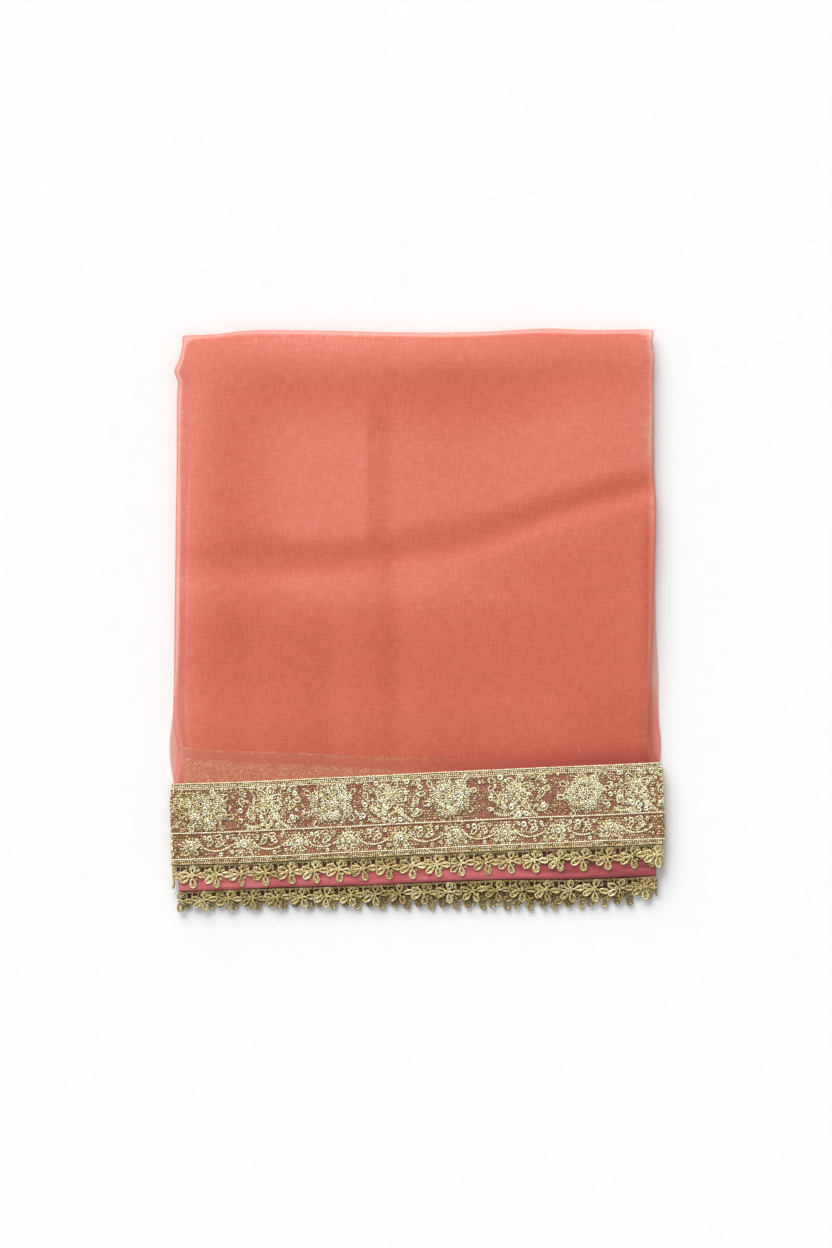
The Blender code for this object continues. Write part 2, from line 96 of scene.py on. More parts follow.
leftFold, rightFold = linesOf(sideFolds)
crossLine, crossDepth = linesOf(crossCrease)
lengthLine, lengthDepth = linesOf(lengthCrease)
hollowLine, hollowDepth = linesOf(topHollow)
ghostLine, speckLine = linesOf(innerEdges)


def lineAt(rows, at):  # a smooth line through a table's rows
    places, values = np.array(rows, float).T
    slopes = np.gradient(values, places)
    at = np.clip(at, places[0], places[-1])
    i = np.clip(np.searchsorted(places, at) - 1, 0, len(places) - 2)
    step = places[i + 1] - places[i]
    t = (at - places[i]) / step
    start = (1 + 2 * t) * (1 - t) ** 2 * values[i] + t * (1 - t) ** 2 * step * slopes[i]
    end = t * t * (3 - 2 * t) * values[i + 1] + t * t * (t - 1) * step * slopes[i + 1]
    return start + end


def ease(value, start, end):
    t = np.clip((value - start) / (end - start), 0, 1)
    return t * t * (3 - 2 * t)


def fade(value, start, end):  # 1 before the start, 0 past the end
    return 1 - ease(value, start, end)


def bump(offset, before, after):  # 1 on a line, falling to 0 on each side of it
    return np.exp(-((offset / np.where(offset < 0, before, after)) ** 2))


ply = {
    "height": 13.8, "sideDrop": 2.0, "foldDrop": 1.7, "borderDrop": 1.2, "hemDrop": 3.0, "fade": 15,
    "columns": 168, "rows": 144, "roll": 8, "wall": 0.35, "waves": 0.15,
}


def flatSides(y):  # where the top ply turns into its side folds
    return lineAt(leftFold, y) + rollRadius, lineAt(rightFold, y) - rollRadius


def calmHeight(x, y):  # the top ply's height without its creases
    left, right = flatSides(y)
    top = lineAt(topFold, x) - rollRadius
    up = y - lineAt(lowerEdge, x)
    side = np.exp(-np.maximum(x - left, 0) / ply["fade"]) + np.exp(-np.maximum(right - x, 0) / ply["fade"])
    fold = np.exp(-np.maximum(top - y, 0) / ply["fade"])
    border = fade(up, 0.9 * borderWidth, 1.8 * borderWidth)
    hem = fade(up, 0, borderWidth)
    high = ply["height"] - ply["sideDrop"] * side * (1 - hem) - ply["foldDrop"] * fold
    return high - ply["borderDrop"] * border - ply["hemDrop"] * hem


def plyHeight(x, y):
    sharp = ease(x, 40, 160)
    cross = bump(y - lineAt(crossLine, x), 11 - 3 * sharp, 17 - 5 * sharp) * lineAt(crossDepth, x)
    length = bump(x - lineAt(lengthLine, y), 13, 8) * lineAt(lengthDepth, y)
    hollow = bump(y - lineAt(hollowLine, x), 22, 14) * lineAt(hollowDepth, x)
    up = y - lineAt(lowerEdge, x)
    crease = np.maximum(np.maximum(cross, length), hollow)
    return calmHeight(x, y) - crease * ease(up, borderWidth, 1.35 * borderWidth)


def plySpan(x):
    return lineAt(topFold, x) - rollRadius - lineAt(lowerEdge, x)


def plyPoint(across, up, sideTurn, foldTurn, out):
    # Across runs from -1 to 1 between the side folds and up from 0 to 1. The turns go round the folds.
    levelX = across * packHalf
    y = lineAt(lowerEdge, levelX) + up * plySpan(levelX)
    left, right = flatSides(y)
    x = left + (across + 1) / 2 * (right - left)
    turn = np.maximum(sideTurn, foldTurn)
    z = plyHeight(x, y) + (rollRadius + out) * np.cos(turn) - rollRadius
    reach = (rollRadius + out) * np.sin(turn) / np.maximum(np.hypot(sideTurn, foldTurn), 1e-9)
    return x + np.sign(across) * reach * sideTurn, y + reach * foldTurn, z


def pucker(s, t):  # how far the border stands up in soft pleats beside the right fold, and less at the left
    right = ease(s, 188, 203) * (0.5 + 0.5 * np.cos((s - 0.06 * t) * 2 * pi / 5.6))
    left = ease(-s, 190, 205) * (0.5 + 0.5 * np.cos((s + 0.05 * t) * 2 * pi / 8))
    return (0.65 * right + 0.3 * left) * ease(t, 0, 14) * (1 - 0.6 * ease(t, 52, 70))


def borderPoint(s, t, out):  # s along the border strip, t up it, out above the cloth
    s, t, out = np.broadcast_arrays(np.asarray(s, float), t, out)
    across = np.clip(s / packHalf, -1, 1)
    turn = np.clip((np.abs(s) - packHalf) / rollRadius, 0, rollEnd)
    return plyPoint(across, t / plySpan(across * packHalf), turn, np.zeros_like(s), out + pucker(s, t))


def lowWaves(x, y, size, seed, short=22, long=70):  # soft unevenness
    pick = np.random.default_rng(seed)
    total = np.zeros_like(np.asarray(x, float))
    waves = 7
    for _ in range(waves):
        angle = pick.uniform(0, pi)
        pitch = pick.uniform(short, long)
        along = x * cos(angle) + y * sin(angle)
        total += np.sin(along * 2 * pi / pitch + pick.uniform(0, 6))
    return size * total / waves


def meshOf(shape, name):
    mesh = bpy.data.meshes.new(name)
    shape.to_mesh(mesh)
    shape.free()
    return mesh


def newObject(name, data):
    made = bpy.data.objects.new(name, data)
    bpy.context.scene.collection.objects.link(made)
    return made


def gridMesh(name, columns, rows):  # a flat grid, and each point's share across it and up it
    shape = bmesh.new()
    bmesh.ops.create_grid(shape, x_segments=columns, y_segments=rows, size=1)
    mesh = meshOf(shape, name)
    flat = np.empty(len(mesh.vertices) * 3)
    mesh.vertices.foreach_get("co", flat)
    flat = flat.reshape(-1, 3)
    return mesh, (flat[:, 0] + 1) / 2, (flat[:, 1] + 1) / 2


def setPoints(mesh, x, y, z):
    points = np.stack(np.broadcast_arrays(x, y, z), axis=1) * mm
    mesh.vertices.foreach_set("co", points.ravel())
    mesh.update()


def setCut(mesh, s, t):  # the place of each point on the flat cloth, in metres, as the piece's UV
    layer = mesh.uv_layers.new(name="cut")
    corners = np.empty(len(mesh.loops), dtype=np.int32)
    mesh.loops.foreach_get("vertex_index", corners)
    places = np.stack(np.broadcast_arrays(s, t), axis=1) * mm
    layer.data.foreach_set("uv", places[corners].ravel())


def setShare(mesh, name, values):
    layer = mesh.attributes.new(name, "FLOAT", "POINT")
    layer.data.foreach_set("value", np.broadcast_to(values, len(mesh.vertices)).astype(np.float32))


def finishPiece(name, mesh, material, replaced=(), wall=0.0, offset=-1.0):
    mesh.materials.append(material)
    mesh.shade_smooth()
    piece = newObject(name, mesh)
    if wall:
        solid = piece.modifiers.new("wall", "SOLIDIFY")
        solid.thickness = wall * mm
        solid.offset = offset
        solid.use_even_offset = True
    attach(piece, "root")
    if replaced:
        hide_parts(*replaced)
    return piece


# Colours and materials
def tint(red, green, blue):  # a colour as the photo shows it, as the colour of the cloth itself
    def straight(value):
        value /= 255
        return value / 12.92 if value <= 0.04045 else ((value + 0.055) / 1.055) ** 2.4

    return (*(min(straight(value), 0.98) for value in (red, green, blue)), 1)


def feed(tree, sockets, values):  # link or set each named socket
    for label, value in values.items():
        if isinstance(value, bpy.types.NodeSocket):
            tree.links.new(value, sockets[label])
        elif value is not None:
            sockets[label].default_value = value


def addNode(tree, kind, group=None, **values):  # a node with its inputs fed, of which the outputs come back
    node = tree.nodes.new(kind)
    if group:
        node.node_tree = group
    feed(tree, node.inputs, values)
    return node.outputs


def addMath(operation, first, second=None, clamp=False):
    tree = (first if isinstance(first, bpy.types.NodeSocket) else second).id_data
    node = tree.nodes.new("ShaderNodeMath")
    node.operation = operation
    node.use_clamp = clamp
    feed(tree, node.inputs, {0: first, 1: second})
    return node.outputs[0]


def plus(first, second, clamp=False):
    return addMath("ADD", first, second, clamp)


def times(first, second, clamp=False):
    return addMath("MULTIPLY", first, second, clamp)


def addNoise(vector, stretch, scale=1.0, detail=2.0):
    tree = vector.id_data
    spread = addNode(tree, "ShaderNodeMapping", Vector=vector, Scale=stretch)["Vector"]
    return addNode(tree, "ShaderNodeTexNoise", Vector=spread, Scale=scale, Detail=detail)["Fac"]


def addGroup(name, inputs, outputs):  # an input without a value is a place
    group = bpy.data.node_groups.new(name, "ShaderNodeTree")
    for label, value in inputs.items():
        kind = "NodeSocketVector" if value is None else "NodeSocketFloat"
        socket = group.interface.new_socket(name=label, in_out="INPUT", socket_type=kind)
        if value is not None:
            socket.default_value = value
    for label in outputs:
        group.interface.new_socket(name=label, in_out="OUTPUT", socket_type="NodeSocketFloat")
    return group, group.nodes.new("NodeGroupInput").outputs, group.nodes.new("NodeGroupOutput").inputs


weaveLook = {  # noise and threads by the metre
    "along": (95, 560, 1), "upward": (520, 90, 1), "bands": (60, 60, 1), "warp": 9800.0, "weft": 9300.0,
    "darkest": -0.1, "lightest": 0.2, "bandShare": 0.15,
}


def weaveGroup():  # plain weave: threads each way, uneven ones, and the soft bands of layers crossing
    group, take, give = addGroup("weave", {"Cut": None, "Strength": 1.0}, ("Tone", "Height", "Open"))
    along = addNoise(take["Cut"], weaveLook["along"])
    upward = addNoise(take["Cut"], weaveLook["upward"])
    bands = addNoise(take["Cut"], weaveLook["bands"], 1.0, 3.0)
    split = addNode(group, "ShaderNodeSeparateXYZ", Vector=take["Cut"])
    threadX = addMath("SINE", times(split["X"], weaveLook["warp"]))
    threadY = addMath("SINE", times(split["Y"], weaveLook["weft"]))
    threads = times(plus(threadX, threadY), 0.5)
    both = plus(plus(along, upward), -1.0)
    both = addMath("MAXIMUM", both, weaveLook["darkest"])
    both = addMath("MINIMUM", both, weaveLook["lightest"])
    soft = times(plus(bands, -0.5), weaveLook["bandShare"])
    tone = times(plus(both, soft), take["Strength"])
    height = plus(times(threads, 0.3), both)
    feed(group, give, {"Tone": tone, "Height": height, "Open": times(threads, 0.5)})
    return group


# painted glints: the strands' and facets' lightness is painted into the colour
def threadGroup():  # metal thread: fine strands that catch the light one by one
    group, take, give = addGroup(
        "metalThread", {"Place": None, "Scale": 1.0, "Glint": 0.5}, ("Tone", "Height", "Roughness"),
    )
    fine = times(take["Scale"], 900.0)
    finer = times(take["Scale"], 1500.0)
    strand = addNode(group, "ShaderNodeTexNoise", Vector=take["Place"], Scale=fine, Detail=3.0)
    facet = addNode(group, "ShaderNodeTexVoronoi", Vector=take["Place"], Scale=finer)
    split = addNode(group, "ShaderNodeSeparateColor", Color=facet["Color"])
    mixed = plus(times(split["Red"], 0.42), strand["Fac"])
    spread = times(plus(mixed, -0.71), 1.15)
    tone = plus(spread, take["Glint"], clamp=True)
    rough = plus(times(split["Green"], 0.25), 0.28)
    feed(group, give, {"Tone": tone, "Height": mixed, "Roughness": rough})
    return group


weave = weaveGroup()
thread = threadGroup()


def newMaterial(name):
    material = bpy.data.materials.new(name)
    material.use_nodes = True
    return material, material.node_tree


def setSurface(tree, values, height=None, strength=0.3, distance=0.0003):
    shader = tree.nodes["Principled BSDF"].inputs
    feed(tree, shader, values)
    if height:
        raised = addNode(tree, "ShaderNodeBump", Height=height, Strength=strength, Distance=distance)
        tree.links.new(raised["Normal"], shader["Normal"])


def addRamp(factor, stops):  # each stop is a place and a colour
    tree = factor.id_data
    ramp = tree.nodes.new("ShaderNodeValToRGB")
    elements = ramp.color_ramp.elements
    while len(elements) < len(stops):
        elements.new(0.5)
    for element, (place, *colour) in zip(elements, stops):
        element.position = place
        element.color = tint(*colour)
    tree.links.new(factor, ramp.inputs["Fac"])
    return ramp.outputs["Color"]


def mixColours(share, first, second):
    tree = share.id_data
    mix = tree.nodes.new("ShaderNodeMix")
    mix.data_type = "RGBA"
    feed(tree, mix.inputs, {"Factor": share, "A": first, "B": second})
    return mix.outputs["Result"]


def addAttribute(tree, name):
    node = tree.nodes.new("ShaderNodeAttribute")
    node.attribute_name = name
    return node.outputs["Fac"]


def addCut(tree):
    node = tree.nodes.new("ShaderNodeUVMap")
    node.uv_map = "cut"
    return node.outputs["UV"]


def addPlace(tree):
    return addNode(tree, "ShaderNodeTexCoord")["Object"]


clothStops = [
    (0.0, 168, 78, 64), (0.2, 196, 94, 76), (0.38, 215, 108, 87), (0.5, 225, 118, 96), (0.64, 234, 130, 108),
    (0.82, 245, 152, 132), (1.0, 251, 200, 184),
]


def clothMaterial(name, cover, strength):  # sheer cloth: shade sets the tone, sheer how much shows through
    material, tree = newMaterial(name)
    fabric = addNode(tree, "ShaderNodeGroup", weave, Cut=addCut(tree), Strength=strength)
    light = addAttribute(tree, "shade")
    rise = times(plus(light, -0.14), 3.6, clamp=True)
    fall = addMath("SUBTRACT", 1.6, times(light, 1.15))
    grain = times(fabric["Tone"], times(rise, fall))  # fainter on dark cloth and on pale cloth
    colour = addRamp(plus(light, grain, clamp=True), clothStops)
    sheer = addAttribute(tree, "sheer")
    solid = addMath("SUBTRACT", cover, times(sheer, cover * 0.75))
    setSurface(tree, {
        "Base Color": mixColours(addAttribute(tree, "pale"), colour, tint(228, 176, 164)),
        "Alpha": plus(solid, times(sheer, fabric["Open"]), clamp=True),
        "Roughness": 0.62, "Specular IOR Level": 0.25, "Sheen Weight": 0.12, "Sheen Roughness": 0.4,
    }, fabric["Height"], 0.15)
    return material


goldStops = [
    (0.0, 108, 78, 46), (0.3, 166, 138, 88), (0.55, 211, 190, 136), (0.8, 240, 228, 182),
    (1.0, 255, 252, 226),
]
laceStops = [
    (0.0, 96, 74, 40), (0.3, 150, 126, 74), (0.6, 204, 184, 124), (0.85, 236, 222, 170), (1.0, 252, 246, 208),
]


def metalMaterial(name, stops, scale, metallic):
    material, tree = newMaterial(name)
    glint = addAttribute(tree, "glint")
    metal = addNode(tree, "ShaderNodeGroup", thread, Place=addPlace(tree), Scale=scale, Glint=glint)
    setSurface(tree, {
        "Base Color": addRamp(metal["Tone"], stops),
        "Metallic": metallic, "Roughness": metal["Roughness"],
    }, metal["Height"], 0.35, 0.0002)
    return material


def netMaterial(name, ground, speck, amount):  # fine net with specks of metal thread
    material, tree = newMaterial(name)
    cut = addCut(tree)
    specks = addNode(tree, "ShaderNodeTexVoronoi", Vector=cut, Scale=880.0)
    split = addNode(tree, "ShaderNodeSeparateColor", Color=specks["Color"])
    chosen = addMath("LESS_THAN", split["Red"], times(addAttribute(tree, "shade"), amount))
    lit = times(chosen, addMath("LESS_THAN", specks["Distance"], 0.42))
    fabric = addNode(tree, "ShaderNodeGroup", weave, Cut=cut, Strength=0.6)
    base = addRamp(plus(fabric["Tone"], 0.5, clamp=True), ground)
    setSurface(tree, {
        "Base Color": mixColours(lit, base, addRamp(split["Green"], speck)),
        "Metallic": times(lit, 0.45), "Roughness": 0.5,
    }, plus(lit, fabric["Height"]), 0.5)
    return material


satinStops = [
    (0.0, 112, 44, 46), (0.3, 158, 70, 72), (0.55, 190, 92, 96), (0.8, 210, 118, 118), (1.0, 228, 152, 150),
]


def satinMaterial():
    material, tree = newMaterial("roseSatin")
    cut = addCut(tree)
    fabric = addNode(tree, "ShaderNodeGroup", weave, Cut=cut, Strength=0.12)
    streaks = plus(addNoise(cut, (38, 230, 1), 1.0, 4.0), -0.5)
    shade = plus(addAttribute(tree, "shade"), streaks)
    colour = addRamp(plus(shade, fabric["Tone"], clamp=True), satinStops)
    setSurface(tree, {"Base Color": colour, "Roughness": 0.42, "Anisotropic": 0.5}, fabric["Height"])
    return material


topCloth = clothMaterial("topCloth", 0.5, 0.42)
innerCloth = clothMaterial("innerCloth", 1.0, 0.2)
netGround = [(0.0, 108, 60, 46), (0.5, 154, 92, 72), (1.0, 188, 122, 98)]
netSpecks = [(0.0, 124, 92, 56), (0.5, 182, 152, 102), (1.0, 240, 228, 184)]
borderCloth = netMaterial("borderNet", netGround, netSpecks, 0.75)
ghostGround = [(0.0, 184, 112, 86), (0.5, 200, 132, 104), (1.0, 216, 152, 122)]
ghostSpecks = [(0.0, 226, 160, 112), (0.5, 244, 204, 150), (1.0, 255, 244, 200)]
ghostCloth = netMaterial("innerBorderNet", ghostGround, ghostSpecks, 0.9)
# painted shade: the next plies' borders under the lace, coloured as they look in shadow
shadedNetGround = [(0.0, 54, 22, 18), (0.5, 82, 36, 30), (1.0, 116, 56, 46)]
shadedNetCloth = netMaterial("shadedNet", shadedNetGround, netSpecks, 0.25)
borderMetal = metalMaterial("borderThread", goldStops, 1.0, 0.35)
sequinMetal = metalMaterial("sequinMetal", goldStops, 0.4, 0.55)
laceMetal = metalMaterial("laceCord", laceStops, 1.0, 0.4)
roseSatin = satinMaterial()
print("materials made")


# The top ply
# Painted light and shade: most of the top ply's tone is painted, with a lighter band along the top fold,
# lighter panels between the creases, darker bands in the creases and the hollow, and a painted shadow just
# above the border.
def topShade(x, y):  # the tone of the top ply, from the photo's light and dark areas
    up = y - lineAt(lowerEdge, x) - borderWidth
    top = lineAt(topFold, x) - y
    cross = y - lineAt(crossLine, x)
    length = x - lineAt(lengthLine, y)
    leftIn = x - lineAt(leftFold, y)
    right = ease(x, 20, 200)
    far = 18 * fade(x, -150, -95) + 8 * bump(x - 5, 20, 55)
    above = ease(cross, 8 + far, 27 + far)
    # painted light along the top fold
    topLight = 0.25 - 0.11 * ease(x, -60, 190) - 0.07 * fade(x, -190, -130)
    shade = 0.58 + topLight * bump(top, 1, 34 + 14 * fade(x, -200, -120))
    # painted light: two lighter panels lie between the creases, over the cross crease
    shade += 0.18 * ease(x, -168, -98) * fade(x, -46, -40) * above * fade(y, 146, 205)
    panel = ease(x, -31, -17) * above * fade(y - 24 * ease(x, 80, 150), 146, 195)
    shade += (0.11 + 0.02 * ease(x, 0, 100)) * panel
    # painted shade in the hollow under the top fold and in both creases, with painted light just below the
    # cross crease
    hollow = bump(y - lineAt(hollowLine, x), 24, 12) * (0.5 + 0.7 * bump(x - 35, 50, 50))
    shade -= 0.07 * hollow * (1 - 0.8 * ease(x, 80, 140)) * ease(x, -175, -110)
    shade -= (0.05 + 0.03 * right) * bump(cross - 5 - 9 * fade(x, -120, 0), 6, 12)
    shorter = (0.6 + 0.4 * ease(x, -170, -110)) * (1 - 0.4 * ease(x, 100, 200))
    shade += 0.11 * bump(cross + 14, 21, 7) * shorter
    shade -= 0.075 * bump(length - 1, 7, 9) * ease(y, -190, -20) * (1 - 0.8 * ease(y, 40, 90))
    shade += 0.05 * bump(length - 14, 5, 22) * (1 - 0.5 * ease(y, -20, 60))
    # the lower half has soft upright stripes and a darker patch at the left
    low = fade(y, -12, 16)
    shade -= 0.06 * bump(y + 18, 40, 24) * (1 - 0.7 * ease(x, -80, 60))
    shade += 0.04 * low * (bump(x + 62, 12, 8) - bump(x + 84, 14, 10) + bump(x + 135, 12, 14))
    shade -= 0.05 * bump(x + 156, 14, 18) * bump(y + 2, 18, 14)
    shade += 0.08 * bump(x + 36, 8, 10) * ease(cross, 20, 44) * fade(y, 150, 175)
    shade += 0.06 * bump(y - 26, 18, 14) * ease(x, -130, -90) * fade(x, 100, 130)
    shade += 0.06 * bump(y + 80, 40, 25) * fade(x, 110, 150)
    shade += 0.1 * bump(x - 196, 5, 5) * ease(y, 60, 110)
    shade -= 0.11 * fade(y, -130, 10)
    # painted shadow just above the border, deeper towards the right
    shade -= (0.1 + 0.26 * ease(x, -100, 190)) * bump(up, 5, 13)
    shade += 0.02 * np.sin(x / 31 + 1.1) * np.sin(y / 43 + x / 90)
    # the folds of the hidden plies show as lines beside the side folds
    along = 0.5 + 0.2 * ease(y, -130, -60) + 0.3 * ease(y, -40, 80) - 0.8 * ease(y, 165, 235)
    shade += 0.22 * bump(leftIn - 3, 5, 26) * along
    shade += 0.08 * bump(leftIn - 11, 0.9, 0.9) * fade(y, 100, 150)
    shade += 0.03 * bump(x - 188, 9, 4) - 0.12 * bump(x - 197.5, 1.2, 2.2) * fade(y, 60, 110)
    shade += 0.2 * bump(x - 202, 3, 6) * ease(y, 20, 90)
    return shade


def makeTopPly():
    columns = ply["columns"] + 2 * ply["roll"]
    rows = ply["rows"] + ply["roll"]
    mesh, u, v = gridMesh("topPly", columns, rows)
    column = np.round(u * columns) - ply["roll"]
    row = np.round(v * rows)
    across = np.clip(2 * column / ply["columns"] - 1, -1, 1)
    across = across * (1.36 - 0.36 * across**2)  # closer columns near the side folds
    sideTurn = rollEnd * np.maximum(-column, column - ply["columns"]).clip(0) / ply["roll"]
    up = np.clip(row / ply["rows"], 0, 1)
    foldTurn = rollEnd * (row - ply["rows"]).clip(0) / ply["roll"]
    x, y, z = plyPoint(across, up, sideTurn, foldTurn, 0.0)
    above = y - lineAt(lowerEdge, x)
    turn = np.maximum(sideTurn, foldTurn)
    calm = ease(above, borderWidth, borderWidth + 30) * (1 - np.clip(turn, 0, 1))
    ridge = 0.35 * bump(y - lineAt(crossLine, x) + 15, 9, 6) * ease(x, 0, 120)
    ridge += 0.12 * bump(x - lineAt(lengthLine, y) - 11, 5, 5)
    setPoints(mesh, x, y, z + calm * (lowWaves(x, y, ply["waves"], 3) + ridge))
    setCut(mesh, across * packHalf + np.sign(across) * sideTurn * rollRadius, above + foldTurn * rollRadius)
    turned = np.clip(turn / 1.6, 0, 1)
    leftIn = x - lineAt(leftFold, y)
    below = lineAt(ghostLine, x) - y
    ghost = ease(below, -2, 2) * fade(x, -40, 50) * ease(x, -204, -199)
    lit = np.maximum(ease(lineAt(speckLine, x) - y, -3, 1), bump(below - 1, 2, 2))
    # painted shade and light on the rolled side folds: darker on the left roll, which faces the lamp, and
    # lighter on the right roll
    setShare(mesh, "shade", topShade(x, y) + np.where(x < 0, -0.12, 0.06) * turned)
    pale = bump(leftIn - 1, 6, 8) * fade(y, -80, -45)
    leftSide = (0.1 + 0.24 * fade(y, -60, 60)) * fade(leftIn, 5, 20)
    rightSide = 0.16 * fade(lineAt(rightFold, y) - x, 2, 12) * fade(y, 0, 80)
    sheer = np.maximum(np.maximum(0.28 * turned, 0.5 * pale), np.maximum(leftSide, rightSide))
    setShare(mesh, "sheer", np.maximum(sheer, ghost * (0.5 + 0.4 * lit)))
    setShare(mesh, "pale", sheer * 0.7)
    return finishPiece("topPly", mesh, topCloth, ["top_ply"], wall=ply["wall"])


# The hidden plies: each leaf is two plies joined round their folds. The first is loose, the second carries
# the rose hem, and the others share the room from firmFloor up to plyGap under the top ply.
leaves = [  # bottom, top, how far in the sides, the fold and the hem lie, and the wave along them
    (0.0, 2.35, 0.0, 2.5, 0.0, 0.0), (2.45, 4.7, 6.0, 4.2, 4.4, 0.7), (0.0, 0.25, 4.2, 3.6, 42.8, 0.5),
    (0.26, 0.5, 5.4, 5.0, 46.0, 0.6), (0.51, 0.75, 8.5, 7.4, 51.0, 0.6), (0.76, 1.0, 10.5, 9.0, 54.0, 0.5),
]
leafGrid = {"across": 56, "up": 62, "roll": 4}
firmFloor = 4.8
plyGap = 0.75


def leafHalf(leaf, index, upper):
    roll = leafGrid["roll"]
    columns = leafGrid["across"] + 2 * roll
    rows = leafGrid["up"] + 2 * roll
    mesh, u, v = gridMesh("half", columns, rows)
    column = np.round(u * columns)
    row = np.round(v * rows)
    shareX = np.clip((column - roll) / leafGrid["across"], 0, 1)
    shareY = np.clip((row - roll) / leafGrid["up"], 0, 1)
    inX = np.minimum(np.minimum(column, columns - column), roll) / roll * pi / 2
    inY = np.minimum(np.minimum(row, rows - row), roll) / roll * pi / 2
    loose = index == 0
    firm = index > 1
    bottom, top, sideIn, foldIn, hemIn, wave = leaf
    phase = top * (11 if firm else 1)
    half = 1.0 if firm else (top - bottom) / 2
    left, right, lower = (looseLeft, looseRight, floorEdge) if loose else (leftFold, rightFold, hemEdge)

    def ripple(at):
        return wave * np.sin(2 * pi * at / 95 + phase)

    guessX = (shareX * 2 - 1) * 200
    low = lineAt(lower, guessX) + hemIn
    high = lineAt(topFold, guessX) - foldIn + ripple(guessX)
    y = low + half + shareY * (high - low - 2 * half)
    start = lineAt(left, y) + sideIn + ripple(y)
    stop = lineAt(right, y) - sideIn - ripple(y + 32)
    x = start + half + shareX * (stop - start - 2 * half)
    x = x + np.sign(shareX - 0.5) * half * np.cos(inX)
    y = y + np.sign(shareY - 0.5) * half * np.cos(inY)
    corner = 3.0 * np.exp(-np.hypot(np.minimum(x - start, stop - x), np.minimum(y - low, high - y)) / 2.2)
    x = x - np.sign(shareX - 0.5) * corner
    y = y - np.sign(shareY - 0.5) * corner
    if firm:
        room = plyHeight(x, y) - plyGap - firmFloor
        bottom = firmFloor + bottom * room
        top = firmFloor + top * room
    lift = np.minimum(np.sin(inX), np.sin(inY))
    setPoints(mesh, x, y, (bottom + top) / 2 + (1 if upper else -1) * (top - bottom) / 2 * lift)
    setCut(mesh, x + 7 * index, y + 11 * index)
    edge = np.minimum(x - start, stop - x)
    # the uppermost firm leaf repeats the top ply's painted light and shade, and the firm leaves are darker
    # towards their edges
    shade = np.where(index == 5, topShade(x, y) - 0.02, 0.46) - 0.12 * (1 - np.clip(edge / 9, 0, 1))
    sheer = np.zeros_like(x)
    # painted light: the loose leaf is lighter towards its edges, and on the right, in the pack's shadow, it
    # is lightened further, as light through sheer cloth
    if loose:
        shade = np.where(x < 0, 0.78, 0.62 + 0.34 * ease(y, -100, -30))
        shade = shade + np.where(x < 0, 0.22, 0.16) * (1 - np.clip(edge / 10, 0, 1))
        sheer = np.where(x < 0, 0.56, 0.3) * fade(edge, 1, 13)
    setShare(mesh, "shade", shade)
    setShare(mesh, "sheer", sheer)
    setShare(mesh, "pale", sheer * 0.7)
    return mesh


def makeHiddenPlies():
    shape = bmesh.new()
    for index, leaf in enumerate(leaves):
        for upper in (True, False):
            half = leafHalf(leaf, index, upper)
            before = len(shape.faces)
            shape.from_mesh(half)
            bpy.data.meshes.remove(half)
            shape.faces.ensure_lookup_table()
            if not upper:
                bmesh.ops.reverse_faces(shape, faces=shape.faces[before:])
    bmesh.ops.remove_doubles(shape, verts=shape.verts, dist=0.002 * mm)
    mesh = meshOf(shape, "hiddenPlies")
    return finishPiece("hiddenPlies", mesh, innerCloth, ["folded_stack"])


# The inner borders: one shows through the top ply, and two dark nets darken the gaps of the lace with painted
# shade, standing for the next plies' borders in shadow
innerStrip = {"left": -201.5, "width": 286, "under": 8, "depth": 0.58, "wall": 0.12}


def makeInnerBorder():
    mesh, u, v = gridMesh("innerBorder", 150, 28)
    x = innerStrip["left"] + innerStrip["width"] * u
    lower = lineAt(lowerEdge, x) + borderWidth - innerStrip["under"]
    upper = np.maximum(lineAt(ghostLine, x), lower + 0.5)
    y = lower + v * (upper - lower)
    setPoints(mesh, x, y, plyHeight(x, y) - innerStrip["depth"] - 0.4 * ease(-x, 196, 202))
    setCut(mesh, x, y)
    within = lineAt(speckLine, x) - y
    lines = bump(lineAt(ghostLine, x) - y - 1.2, 1.0, 1.4) + bump(within - 0.6, 1.0, 1.2)
    setShare(mesh, "shade", 0.1 + 0.9 * ease(within, -1, 1.5) + 1.3 * np.clip(lines, 0, 1))
    return finishPiece("innerBorder", mesh, ghostCloth, wall=innerStrip["wall"])


# a dark net with painted shade: the next ply's border as it looks in shadow, showing through the gaps of the
# lace
def makeShadedNet(name, edge, left, right, height, out):
    mesh, u, v = gridMesh(name, 160, 6)
    x = left + (right - left) * u
    y = lineAt(edge, x) - out + 0.5 * np.sin(x / 3.3) * (1 - v) + v * (out + 7)
    setPoints(mesh, x, y, height - 0.4 * (1 - v) + 0.1 * np.sin(x / 9))
    setCut(mesh, x, y)
    setShare(mesh, "shade", 1.0)
    return finishPiece(name, mesh, shadedNetCloth, wall=0.15, offset=0)


# The border's net
borderStrip = {"across": 208, "roll": 8, "up": 26, "out": 0.62, "wall": 0.28}


def makeBorderNet():
    columns = borderStrip["across"] + 2 * borderStrip["roll"]
    mesh, u, v = gridMesh("borderNet", columns, borderStrip["up"])
    column = np.round(u * columns) - borderStrip["roll"]
    s = np.clip(2 * column / borderStrip["across"] - 1, -1, 1) * packHalf
    over = np.maximum(-column, column - borderStrip["across"]).clip(0) / borderStrip["roll"]
    s = s + np.sign(s) * over * rollEnd * rollRadius
    t = v * borderWidth
    setPoints(mesh, *borderPoint(s, t, borderStrip["out"]))
    setCut(mesh, s, t)
    lines = bump(t - 1.6, 1.6, 3) + bump(t - 68.4, 2.6, 2)
    setShare(mesh, "shade", 0.8 + 0.45 * np.clip(lines, 0, 1) + 0.1 * ease(np.abs(s), 196, 210))
    return finishPiece("borderNet", mesh, borderCloth, ["gold_border"], borderStrip["wall"])


